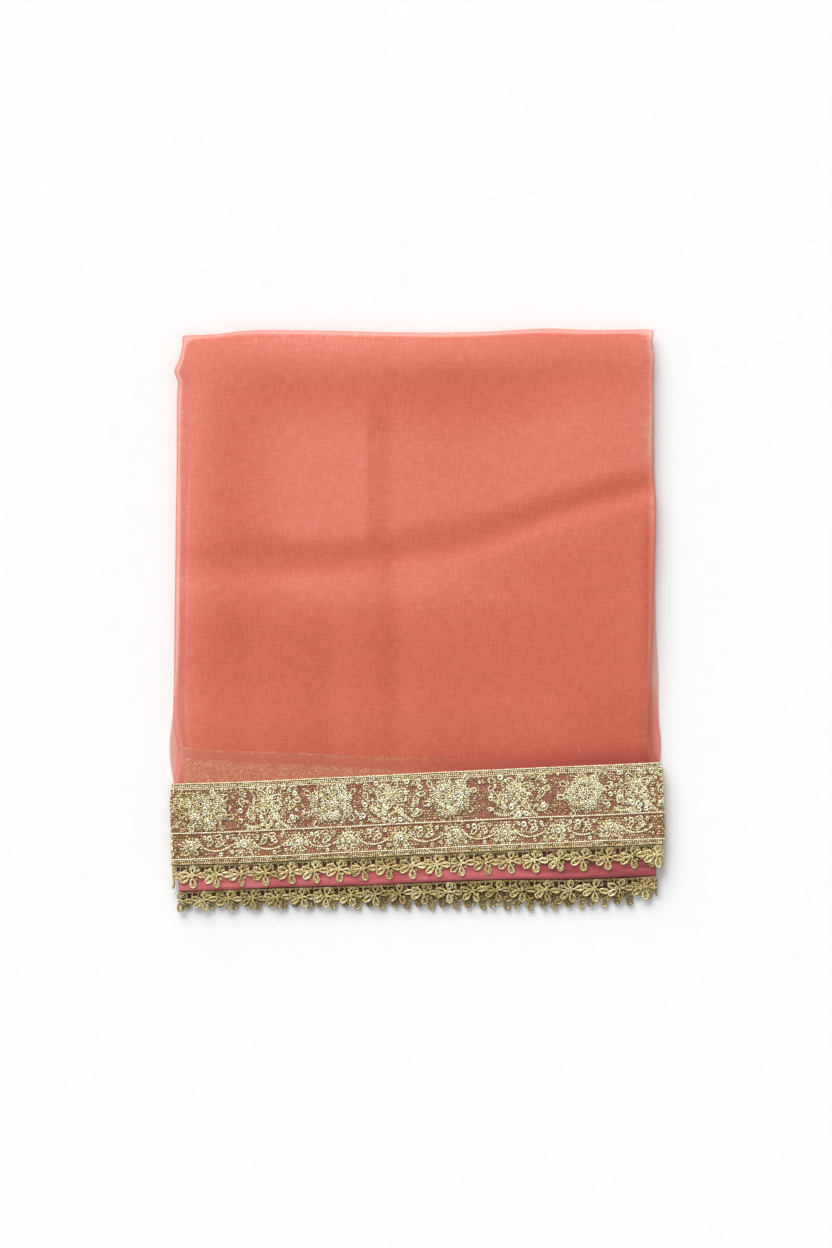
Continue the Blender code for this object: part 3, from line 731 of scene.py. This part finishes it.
# Small parts, made once and laid out in rows
def shapeArrays(shape):
    shape.verts.index_update()
    points = np.array([vertex.co[:] for vertex in shape.verts])
    faces = [[vertex.index for vertex in face.verts] for face in shape.faces]
    shape.free()
    return points, faces


def beadShape():  # a rounded stitch, 1 mm each way
    shape = bmesh.new()
    bmesh.ops.create_icosphere(shape, subdivisions=1, radius=0.5)
    return shapeArrays(shape)


def sequinShape():  # a cupped disc with a hole, 1 mm across
    shape = bmesh.new()
    bmesh.ops.create_circle(shape, segments=10, radius=0.5)
    inner = bmesh.ops.create_circle(shape, segments=10, radius=0.2)["verts"]
    bmesh.ops.translate(shape, verts=inner, vec=(0, 0, -0.06))
    ring = bmesh.ops.bridge_loops(shape, edges=shape.edges[:])["faces"]
    made = bmesh.ops.extrude_face_region(shape, geom=ring)["geom"]
    raised = [part for part in made if isinstance(part, bmesh.types.BMVert)]
    bmesh.ops.translate(shape, verts=raised, vec=(0, 0, 0.09))
    bmesh.ops.recalc_face_normals(shape, faces=shape.faces)
    return shapeArrays(shape)


def tubeShape(path, radius, closed=False):
    # A tube round a path of (s, t, height) points, from a grid that is closed into a sleeve.
    path = np.array(path, float)
    count = len(path)
    columns = count if closed else count - 1
    radius = np.broadcast_to(np.asarray(radius, float), count)
    shape = bmesh.new()
    bmesh.ops.create_grid(shape, x_segments=columns, y_segments=5, size=1)
    forward = np.roll(path, -1, axis=0) - np.roll(path, 1, axis=0)
    if not closed:
        forward[0] = path[1] - path[0]
        forward[-1] = path[-1] - path[-2]
    flat = np.stack([-forward[:, 1], forward[:, 0]], axis=1)
    flat /= np.maximum(np.linalg.norm(flat, axis=1, keepdims=True), 1e-9)
    for vertex in shape.verts:
        i = round((vertex.co.x + 1) / 2 * columns) % count
        angle = -(vertex.co.y + 1) * pi
        away = radius[i] * cos(angle)
        rise = radius[i] * sin(angle)
        vertex.co = (path[i, 0] + flat[i, 0] * away, path[i, 1] + flat[i, 1] * away, path[i, 2] + rise)
    bmesh.ops.remove_doubles(shape, verts=shape.verts, dist=0.0005)
    if not closed:
        bmesh.ops.holes_fill(shape, edges=[edge for edge in shape.edges if edge.is_boundary], sides=0)
    bmesh.ops.recalc_face_normals(shape, faces=shape.faces)
    return shapeArrays(shape)


class Work:  # many small shapes in flat places, to be laid on the cloth as one mesh
    def __init__(self):
        self.points = []
        self.faces = []
        self.glints = []
        self.count = 0

    def add(self, base, s=0.0, t=0.0, out=0.0, turn=0.0, size=(1, 1, 1), glint=0.5):
        points, faces = base
        scaled = points * np.array(size, float)
        cosine, sine = cos(turn), sin(turn)
        moved = np.empty_like(scaled)
        moved[:, 0] = s + scaled[:, 0] * cosine - scaled[:, 1] * sine
        moved[:, 1] = t + scaled[:, 0] * sine + scaled[:, 1] * cosine
        moved[:, 2] = out + scaled[:, 2]
        self.points.append(moved)
        self.faces += [[i + self.count for i in face] for face in faces]
        self.glints.append(glint + np.zeros(len(points)))
        self.count += len(points)

    def finish(self, name, place, metal, replaced=()):
        flat = np.concatenate(self.points)
        x, y, z = place(flat[:, 0], flat[:, 1], flat[:, 2])
        mesh = bpy.data.meshes.new(name)
        mesh.from_pydata((np.stack([x, y, z], axis=1) * mm).tolist(), [], self.faces)
        mesh.update()
        setShare(mesh, "glint", np.concatenate(self.glints))
        return finishPiece(name, mesh, metal, replaced)


bead = beadShape()
sequin = sequinShape()


# painted glints: each stitch, sequin and cord gets its own random lightness, as metal thread catches the
# light unevenly
def glintOf(middle, spread=0.22):
    return min(max(dice.gauss(middle, spread), 0.02), 1.0)


def around(s, t, away, turn, aside=0.0):  # the place so far from a middle along a turn, and aside of it
    cosine, sine = cos(turn), sin(turn)
    return s + away * cosine - aside * sine, t + away * sine + aside * cosine


def stitch(work, s, t, turn, length, width=1.6, out=1.1, middle=0.72):
    work.add(bead, s, t, out, turn, (length, width, 1.05), glintOf(middle))


def stitchLine(work, path, length, width, out, middle):  # chain stitches along a path
    path = np.array(path, float)
    legs = np.linalg.norm(np.diff(path, axis=0), axis=1)
    far = np.concatenate([[0], np.cumsum(legs)])
    for i in range(max(int(far[-1] / (length * 0.8)), 1)):
        at = (i + 0.5) * length * 0.8
        s = np.interp(at, far, path[:, 0])
        t = np.interp(at, far, path[:, 1])
        ahead = min(at + 0.4, far[-1])
        turn = atan2(np.interp(ahead, far, path[:, 1]) - t, np.interp(ahead, far, path[:, 0]) - s)
        turn += dice.uniform(-0.3, 0.3)
        stitch(work, s, t, turn, length * dice.uniform(0.85, 1.15), width, out, middle)


def petalPath(s, t, turn, length, width, start, count, sharp=0.8):  # a closed drop-shaped loop
    path = []
    for i in range(count):
        angle = 2 * pi * i / count
        aside = width / 2 * sin(angle) * abs(sin(angle / 2)) ** sharp * 1.12
        path.append(around(s, t, start + length * (1 - cos(angle)) / 2, turn, aside))
    return path


def outlinePetal(work, s, t, turn, length, width, start=0.0, middle=0.8):
    path = petalPath(s, t, turn, length, width, start, 18)
    stitchLine(work, path + path[:1], 2.2, 1.55, 1.25, middle)
    if width > 4.5:  # a row of stitches down its middle
        steps = max(int(length / 2.4), 1)
        for i in range(1, steps):
            place = around(s, t, start + length * i / steps, turn)
            stitch(work, *place, turn, 2.1, 1.4, 1.4, middle)


def curvePath(points, count):  # a smooth path through a few points
    points = np.array(points, float)
    at = np.linspace(0, len(points) - 1, count)
    rows = [[(i, value) for i, value in enumerate(points[:, axis])] for axis in (0, 1)]
    return list(zip(lineAt(rows[0], at), lineAt(rows[1], at)))


def thickStem(work, points, middle=0.84):  # two rows of chain stitches side by side
    path = np.array(curvePath(points, 18))
    aside = np.gradient(path, axis=0)[:, ::-1] * (-1, 1)
    aside /= np.linalg.norm(aside, axis=1, keepdims=True)
    for share in (-0.65, 0.65):
        stitchLine(work, path + share * aside, 2.2, 1.45, 1.3, middle)


def addSequin(sequins, s, t, size, out=1.4, middle=0.82):
    lean = dice.uniform(0, 6.28)
    sequins.add(sequin, s, t, out, lean, (size, size, 3.2), glintOf(middle, 0.16))


def rosette(work, sequins, s, t, radius):
    addSequin(sequins, s, t, 4.6, 2.2, 0.95)
    for i in range(7):
        addSequin(sequins, *around(s, t, 4.0, 2 * pi * i / 7), 3.4, 1.95)
    for i in range(14):
        angle = 2 * pi * (i + 0.5) / 14
        stitch(work, *around(s, t, 6.6, angle), angle, 2.7, 1.8, 1.6, 0.82)
        addSequin(sequins, *around(s, t, 8.6, angle + 0.2), 2.9, 1.6, 0.78)
    base = 0.7 if s > -150 else 0.56
    lobes = 8
    for i in range(lobes):
        angle = 2 * pi * (i + 0.35) / lobes + dice.uniform(-0.16, 0.16)
        lobeS, lobeT = around(s, t, radius * dice.uniform(0.56, 0.76), angle)
        lobeS += 0.16 * (lobeS - s)
        lobeT -= 0.08 * (lobeT - t)
        lobe = radius * dice.uniform(0.26, 0.36)
        for j in range(13):
            turn = angle + (j - 6) * 0.4
            light = base + 0.1 * cos(angle) + 0.14 * (j % 2)
            stitch(work, *around(lobeS, lobeT, lobe, turn), turn, 2.7, 1.9, 1.55, light)
        for j in range(5):
            place = around(lobeS, lobeT, lobe * 0.6, angle + (j - 2) * 1.05)
            addSequin(sequins, *place, 2.9, 1.8 + 0.07 * j, 0.78)
        addSequin(sequins, lobeS, lobeT, 3.4, 2.05, 0.9)
        if abs(cos(angle)) > 0.45:
            place = around(lobeS, lobeT, lobe, angle)
            outlinePetal(work, *place, angle + dice.uniform(-0.8, 0.8), 6.5, 4.2)


def star(work, sequins, s, t, radius):
    for i in range(6):
        angle = 0.25 + 2 * pi * i / 6
        outlinePetal(work, s, t, angle, radius * 0.86, radius * 0.5, radius * 0.12, 0.84)
    addSequin(sequins, s, t, 4.2, 1.9, 0.92)


sprigLeaves = [  # along from its middle, up the border, turn, length, width
    (11, 36.5, 2.6, 8.5, 5.0), (17, 33.5, 0.4, 10, 5.2), (-11, 36, 2.2, 9.5, 5.2), (-16, 40, 1.2, 8.5, 4.8),
    (-8, 31.5, -0.35, 7.5, 4.2), (19, 44, 1.1, 9, 5.2), (-18, 57, 2.4, 8, 4.8), (17, 60, 0.5, 8, 4.6),
    (-21, 49, 1.9, 7, 4.6), (22, 52, 0.1, 6.5, 4.4),
]
sprigSequins = [(8, 31), (-5, 37), (22, 38), (-23, 45), (-14, 63), (13, 63.5), (24, 58), (1, 30.5), (-24, 36)]


def sprig(work, sequins, s):  # what lies between two rosettes: a star, its stem, leaves and curls
    star(work, sequins, s, 53.0, 12.5)
    thickStem(work, [(s + 18, 29), (s + 12, 33), (s + 7, 38), (s + 4.5, 43)])
    thickStem(work, [(s - 20, 33), (s - 13, 30.5), (s - 5, 32), (s + 3, 39)], 0.78)
    for away, up, turn, length, width in sprigLeaves:
        outlinePetal(work, s + away, up, turn, length, width)
    for away, up in sprigSequins:
        addSequin(sequins, s + away + dice.uniform(-1, 1), up, dice.uniform(4.0, 5.4), middle=0.92)


def fan(work, sequins, s, t, radius):
    for i in range(10):
        angle = pi * i / 9
        for away in (0.45, 0.72, 1.0):
            stitch(work, *around(s, t, away * radius, angle), angle, 2.6, 1.6, 1.2, 0.74 + 0.14 * (i % 2))
    addSequin(sequins, s, t + 1.4, 4.6, 1.8, 0.95)
    for i in range(5):
        addSequin(sequins, *around(s, t, 0.6 * radius, pi * (i + 0.5) / 5), 3.0, 1.7)
    for side in (-1, 1):
        outlinePetal(work, s + side * 1.5, t - 1.2, -1.57 + side * 0.8, 5.6, 3.6)
    stitch(work, s, t - 3.4, 1.57, 3.0)


rosettePlaces = (-182.0, -73.0, 28.5, 143.5)
sprigPlaces = (-128.5, -22.0, 86.0, 189.0)
fanPitch = 45.0
fanStart = -14
swagLeaves = [(14, 15, 0.9, 7), (21, 14.5, 0.6, 8), (28, 16, 2.2, 7), (20, 22.5, 0.2, 6.5)]
swagSequins = [(17, 22, 5.0), (26, 8, 3.6), (11.5, 22.5, 3.4), (31, 22.5, 3.4), (35, 9.5, 3.2)]
edgeStitches = [(1.7, 0.58), (3.4, 0.62), (66.5, 0.8), (68.1, 0.84)]  # each row's height and light


def fillGround(work):  # knots side by side over the net, but for its open patches
    pick = np.random.default_rng(11)
    s, t = np.meshgrid(np.arange(-213.5, 213.5, 2.45), np.arange(6.6, 64.2, 2.2))
    s = (s + 1.2 * (np.round(t / 2.2) % 2) + pick.uniform(-0.6, 0.6, s.shape)).ravel()
    t = (t + pick.uniform(-0.5, 0.5, t.shape)).ravel()
    patches = lowWaves(s, t, 1.0, 8, 9, 20) - 0.5 * ease(np.abs(s), 168, 200)
    # the knots are darker at both ends; at the right end this is painted shade in the pleats beside the fold
    tones = lowWaves(s, t, 0.3, 21, 6, 14) - 0.12 * ease(s, 165, 200) - 0.22 * fade(s, -205, -150)
    near = np.zeros_like(s)  # the knots are larger and lighter about the flowers
    flowers = [(place, 46.0, 24) for place in rosettePlaces + sprigPlaces]
    flowers += [(i * fanPitch + fanStart, 15.0, 17) for i in range(-4, 5)]
    for along, up, reach in flowers:
        near = np.maximum(near, 1 - ease(np.hypot(s - along, t - up), 0.4 * reach, reach))
    near = np.maximum(near * (1 - 0.6 * fade(s, -205, -165)), 0.6 * ease(np.abs(s), 180, 200))
    for k in np.flatnonzero((patches < 0.16 + 0.5 * near) & (np.abs(t - 27.3) > 1.3)):
        size = pick.uniform(1.5, 2.2) + 0.5 * near[k]
        light = 0.46 + 0.16 * near[k] + tones[k]
        stitch(work, s[k], t[k], pick.uniform(0, 3.1), size, size * 0.86, 1.0, light)


def looseSequins(sequins, middle, count, spread, height, rise, lowest, highest, smallest):
    for _ in range(count):
        s = min(max(dice.gauss(middle, spread), -211), 211)
        t = min(max(dice.gauss(height, rise), lowest), highest)
        addSequin(sequins, s, t, dice.uniform(smallest, smallest + 0.8), 1.35, 0.76)


def makeEmbroidery():
    work = Work()
    sequins = Work()
    ground = Work()
    for s in rosettePlaces:
        rosette(work, sequins, s, 47.3, 17.2)
    for s in sprigPlaces:
        sprig(work, sequins, s)
    for i in range(-5, 6):
        s = i * fanPitch + fanStart + dice.uniform(-1, 1)
        if abs(s) > 209:
            continue
        fan(work, sequins, s, 13.8, 8.6)
        swag = curvePath([(s + 8.5, 16.5), (s + 14, 12.4), (s + 22, 11), (s + 30, 12.8), (s + 36.5, 17)], 24)
        stitchLine(work, [point for point in swag if abs(point[0]) < 212], 2.3, 1.8, 1.3, 0.88)
        for away, up, turn, length in swagLeaves:
            if abs(s + away) < 207:
                outlinePetal(work, s + away, up, turn, length, 3.8)
        for away, up, size in swagSequins:
            if abs(s + away) < 210:
                addSequin(sequins, s + away + dice.uniform(-1, 1), up, size)
    for _ in range(150):  # the crowded left end
        s = -208 + 46 * dice.random() ** 1.4
        addSequin(sequins, s, dice.uniform(29, 64), dice.uniform(2.4, 3.6), 1.4, 0.48)
    for middle in sprigPlaces:
        looseSequins(sequins, middle, 64, 14, 46, 10, 29.5, 64, 2.4)
    for i in range(-5, 5):
        looseSequins(sequins, i * fanPitch + fanStart, 12, 9, 16, 5, 7, 25.5, 2.2)
    fillGround(ground)
    for t, middle in edgeStitches:
        for i in range(236):
            place = (-213.2 + i * 1.81, t + dice.uniform(-0.3, 0.3))
            stitch(work, *place, 0.5 + 2 * (i % 2), 2.0, 1.5, 1.0, middle)
    return [
        work.finish("borderStitches", borderPoint, borderMetal),
        ground.finish("borderKnots", borderPoint, borderMetal),
        sequins.finish("borderSequins", borderPoint, sequinMetal),
    ]


borderCords = [  # height up the border, radius, light
    (0.7, 0.5, 0.42), (4.9, 0.6, 0.8), (27.3, 0.62, 0.82), (65.0, 0.45, 0.7), (69.7, 0.55, 0.76),
]


def makeBorderCords():
    cords = Work()
    at = np.linspace(-packHalf - 6.6, packHalf + 6.6, 900)
    for t, radius, middle in borderCords:
        wander = t + 0.14 * np.sin(at / 17 + t) + 0.07 * np.sin(at * 1.1)
        path = np.stack([at, wander, np.full_like(at, 0.8 + radius * 0.6)], axis=1)
        tube = tubeShape(path, radius * (1 + 0.36 * np.sin(at * pi)))
        along = tube[0][:, 0]
        # painted light: the cords are lighter on their swells and darker at the pinches
        cords.add(tube, glint=middle + 0.22 * np.sin(along * pi) + 0.12 * np.sin(along / 2.7))
    return cords.finish("borderCords", borderPoint, borderMetal)


# The lace
halfFlower = 10.55
flowerCentre = -8.9
petals = [  # turn, how far out its tip is, length, width
    (76, 8.4, 7.2, 5.0), (-4, 11.9, 8.6, 4.3), (-79, 10.9, 8.0, 5.2), (212, 10.9, 8.6, 4.7),
    (165, 10.4, 8.6, 4.4),
]
spurs = [(0.62, 6.4, 5.2), (2.5, 6.6, 5.4), (1.9, 5.2, 3.6), (-0.75, 5.6, 3.4), (3.95, 5.2, 3.2)]
ties = [  # the ties up to the header, which leave dark gaps between them
    ((-9.4, -8.2), (-10.2, -4.6), (-9.2, -1.2)), ((-5.2, -5.6), (-4.4, -3.4), (-5.4, -1.2)),
    ((6.4, -7.4), (6.8, -4.2), (4.6, -1.2)),
]


def laceFlower(work, along, lean, size, middle):
    for turn, tip, length, width in petals:
        if along == 0 and turn > 90:  # cut off where the row starts
            continue
        turn = radians(turn + lean + dice.uniform(-7, 7))
        length = length * size * dice.uniform(0.94, 1.05)
        start = tip * size - length
        width = width * dice.uniform(0.92, 1.08)
        for share, radius, rise in ((1.0, 0.9, 0.0), (0.52, 0.6, 0.1)):
            long = length * (0.5 + share / 2) * 0.97
            path = petalPath(along, flowerCentre, turn, long, width * share, start + 0.3, 16, 0.6)
            lift = [0.28 * sin(pi * i / 16) + rise for i in range(16)]
            tube = tubeShape([(*point, z) for point, z in zip(path, lift)], radius, True)
            # painted glints along each loop's cord
            streak = 0.16 * np.sin(tube[0][:, 0] * 2.4 + tube[0][:, 1])
            work.add(tube, glint=glintOf(middle + 0.05 - rise, 0.1) + streak)
        root = [(*around(along, flowerCentre, away, turn), 0.3) for away in (0.3, start, start + 1.8)]
        work.add(tubeShape(root, (1.05, 1.0, 0.7)), glint=glintOf(middle, 0.1))
    for i in range(5):
        turn = 1.26 * i + 0.5
        place = around(along, flowerCentre, 0.9, turn)
        work.add(bead, *place, 0.65, turn, (2.1, 1.5, 1.2), glintOf(middle + 0.08, 0.12))
    for turn, away, length in spurs:
        if along == 0 and turn > 1.5:
            continue
        turn += radians(lean)
        place = around(along, flowerCentre, away * size, turn)
        work.add(bead, *place, 0.15, turn, (length, 1.9, 1.5), glintOf(middle - 0.05, 0.16))


def laceTies(work, along, middle):
    for points in ties:
        if along == 0 and points[0][0] < 0:
            continue
        path = [(along + s, t, 0.1) for s, t in curvePath(points, 7)]
        work.add(tubeShape(path, 0.68), glint=glintOf(middle - 0.08, 0.1))


def movedFlower(work, down, out, *flower):  # a flower shifted on the row
    start = len(work.points)
    laceFlower(work, *flower)
    for points in work.points[start:]:
        points[:, 1] += down
        points[:, 2] += out


def makeLace(row):
    work = Work()
    middle = row["light"]
    flowers = row["halves"] // 2
    whole = row["halves"] * halfFlower
    if row["double"]:  # the next layer's lace lies on it, half a flower along
        for k in range(flowers):
            movedFlower(work, 1.6, 1.0, (2 * k + 1) * halfFlower, dice.uniform(-12, 12), 0.95, middle - 0.1)
    for k in range(flowers + 1):
        along = 2 * k * halfFlower
        lean = 5 * sin(1.7 * k) + dice.uniform(-4, 4)
        laceFlower(work, along, lean, dice.uniform(0.96, 1.02), middle + 0.06 * sin(k * 1.3))
        laceTies(work, along, middle)
    # painted shade: the folded-under flowers are darker
    for k in range(row["folded"]):  # the end of the row, folded under beside itself
        movedFlower(work, 0, -0.8, whole - 2 - 6 * k, 25 - 20 * k, 0.94, middle - 0.2)
    at = np.linspace(0, whole, 560)
    for t, radius, tone in ((-0.6, 0.5, 0.0), (-1.6, 0.4, -0.12)):  # the header's two cords
        swell = radius * (1 + 0.25 * np.sin(at * 2 * pi / 1.9))
        path = np.stack([at, t + 0.15 * np.sin(at / 7), np.full_like(at, 0.1)], axis=1)
        work.add(tubeShape(path, swell), glint=middle + tone)
    stretch = row["width"] / whole
    place = row["place"]

    def laid(s, t, out):
        return place(np.clip(s, -2.0, whole + 1.0) * stretch, -t, out)

    return work.finish(row["name"], laid, laceMetal, [row["node"]])


def upperPlace(along, down, out):
    left = lineAt(leftFold, leftStart) + rollRadius
    right = lineAt(rightFold, rightEnd) - rollRadius
    across = left - rollRadius * rollEnd + along
    x = np.clip(across, left, right)
    turn = np.abs(across - x) / rollRadius
    edge = lineAt(lowerEdge, x)
    z = plyHeight(x, edge) - 0.55
    z = z + (8.5 - z) * ease(down, 0, 14) + 0.55 * np.sin(x / 16 + 1) * ease(down, 6, 20) * 0.5
    away = 2.2 + out
    return x + np.sign(across) * away * np.sin(turn), edge - 0.3 - down, z - 2.2 + away * np.cos(turn)


hemLeft = -205
hemWidth = 411


def lowerPlace(along, down, out):
    x = hemLeft + along
    y = lineAt(hemEdge, x) - 0.4 - (0.84 + 0.16 * along / hemWidth) * down
    return x, y, 5.7 - 1.5 * ease(down, 0, 14) + out


def floorPlace(along, down, out):
    x = -201 + along
    return x, lineAt(floorEdge, x) - 0.3 - down, 0.55 + 1.6 * ease(down, 5, 20) + out


# The rose hem
hem = {"turned": 42.0, "radius": 1.3, "low": 5.25, "lift": 0.22, "wall": 0.35}


def makeRoseHem():
    mesh, u, v = gridMesh("roseHem", 220, 40)
    length = hem["turned"] * 2
    at = v * length
    x = hemLeft + hemWidth * u
    edge = lineAt(hemEdge, x) + 0.15 * np.sin(x / 21)
    nose = pi * hem["radius"]
    flat = (length - nose) / 2
    angle = np.clip((at - flat) / nose, 0, 1) * pi
    radius = hem["radius"] - 0.45 * np.clip(1 - np.minimum(at, length - at) / flat, 0, 1)
    back = np.where(at < flat, flat - at, at - flat - nose).clip(0)
    y = edge + hem["radius"] + back - hem["radius"] * np.sin(angle)
    ripple = 0.1 * np.sin(x / 13 + y / 9) + 0.08 * np.sin(x / 5.1 - y / 3)
    z = hem["low"] + radius - radius * np.cos(angle) + np.where(at > length / 2, ripple, 0) + hem["lift"]
    setPoints(mesh, x, y, z)
    setCut(mesh, x, at)
    front = y - edge
    # painted light and shade on the hem: a highlight just behind its front edge, a darker line on the edge
    # itself, and painted shadow of the lace towards its back and towards the right
    shade = 0.44 + 0.18 * bump(front - 3, 3, 6) - 0.3 * ease(front, 8, 19) - 0.15 * bump(front, 1, 1)
    setShare(mesh, "shade", shade + 0.05 * np.sin(x / 37) - 0.22 * ease(x, 40, 150))
    return finishPiece("roseHem", mesh, roseSatin, ["rose_hem"], wall=hem["wall"])


topPly = makeTopPly()
print("top ply made")
hiddenPlies = makeHiddenPlies()
print("hidden plies made")
innerBorder = makeInnerBorder()
upperShaded = makeShadedNet("upperInnerNet", lowerEdge, -207, 208, 8.75, 5.6)
lowerShaded = makeShadedNet("lowerInnerNet", hemEdge, -203, 203, 3.4, 8.5)
borderNet = makeBorderNet()
borderWork = [makeBorderCords()] + makeEmbroidery()
print("border made")

upperWidth = float(lineAt(rightFold, rightEnd) - lineAt(leftFold, leftStart)) + 2 * rollRadius * (rollEnd - 1)
# each row's light: the lower rows are darker, with painted shade where they lie under the rows above
laceRows = [
    {"name": "upperLace", "node": "upper_lace", "place": upperPlace, "halves": 41, "width": upperWidth,
     "light": 0.6, "folded": 3, "double": False},
    {"name": "lowerLace", "node": "lower_lace", "place": lowerPlace, "halves": 39, "width": hemWidth,
     "light": 0.5, "folded": 2, "double": False},
    {"name": "floorLace", "node": "floor_lace", "place": floorPlace, "halves": 37, "width": 393,
     "light": 0.3, "folded": 0, "double": True},
]
upperLace, lowerLace, floorLace = [makeLace(row) for row in laceRows]
roseHem = makeRoseHem()
print("lace and hem made")


# Floor, light and camera
studio = {
    "floor": 60000, "sun": (-0.78, 1.86, 1.03), "sunWidth": 44, "sunPower": 3.8, "room": 0.55,
    "lens": 85, "film": 36, "camera": (-0.0009, -0.0034, 2.5448),
}


def makeFloor():
    mesh, u, v = gridMesh("floor", 1, 1)
    setPoints(mesh, studio["floor"] * (2 * u - 1), studio["floor"] * (2 * v - 1), 0.0)
    material, tree = newMaterial("whitePaper")
    grain = addNoise(addPlace(tree), (1, 1, 1), 60.0)
    paper = addRamp(grain, [(0.0, 241, 241, 241), (1.0, 244.6, 244.6, 244.6)])
    setSurface(tree, {"Base Color": paper, "Roughness": 0.9})
    mesh.materials.append(material)
    floor = newObject("floor", mesh)


def makeLight():
    lamp = bpy.data.lights.new("softLight", "SUN")  # a wide soft light from the upper left
    lamp.angle = radians(studio["sunWidth"])
    lamp.energy = studio["sunPower"]
    place = newObject("softLight", lamp)
    place.location = studio["sun"]
    place.rotation_euler = (-Vector(studio["sun"])).to_track_quat("-Z", "Y").to_euler()
    world = bpy.data.worlds.new("paleRoom")
    world.use_nodes = True
    room = world.node_tree.nodes["Background"].inputs
    feed(world.node_tree, room, {"Color": (1, 1, 1, 1), "Strength": studio["room"]})
    bpy.context.scene.world = world


def makeCamera():
    lens = bpy.data.cameras.new("camera")
    lens.lens = studio["lens"]
    lens.sensor_width = studio["film"]
    camera = newObject("camera", lens)
    camera.location = studio["camera"]
    bpy.context.scene.camera = camera


makeFloor()
makeLight()
makeCamera()
bpy.context.scene.view_settings.view_transform = "Standard"
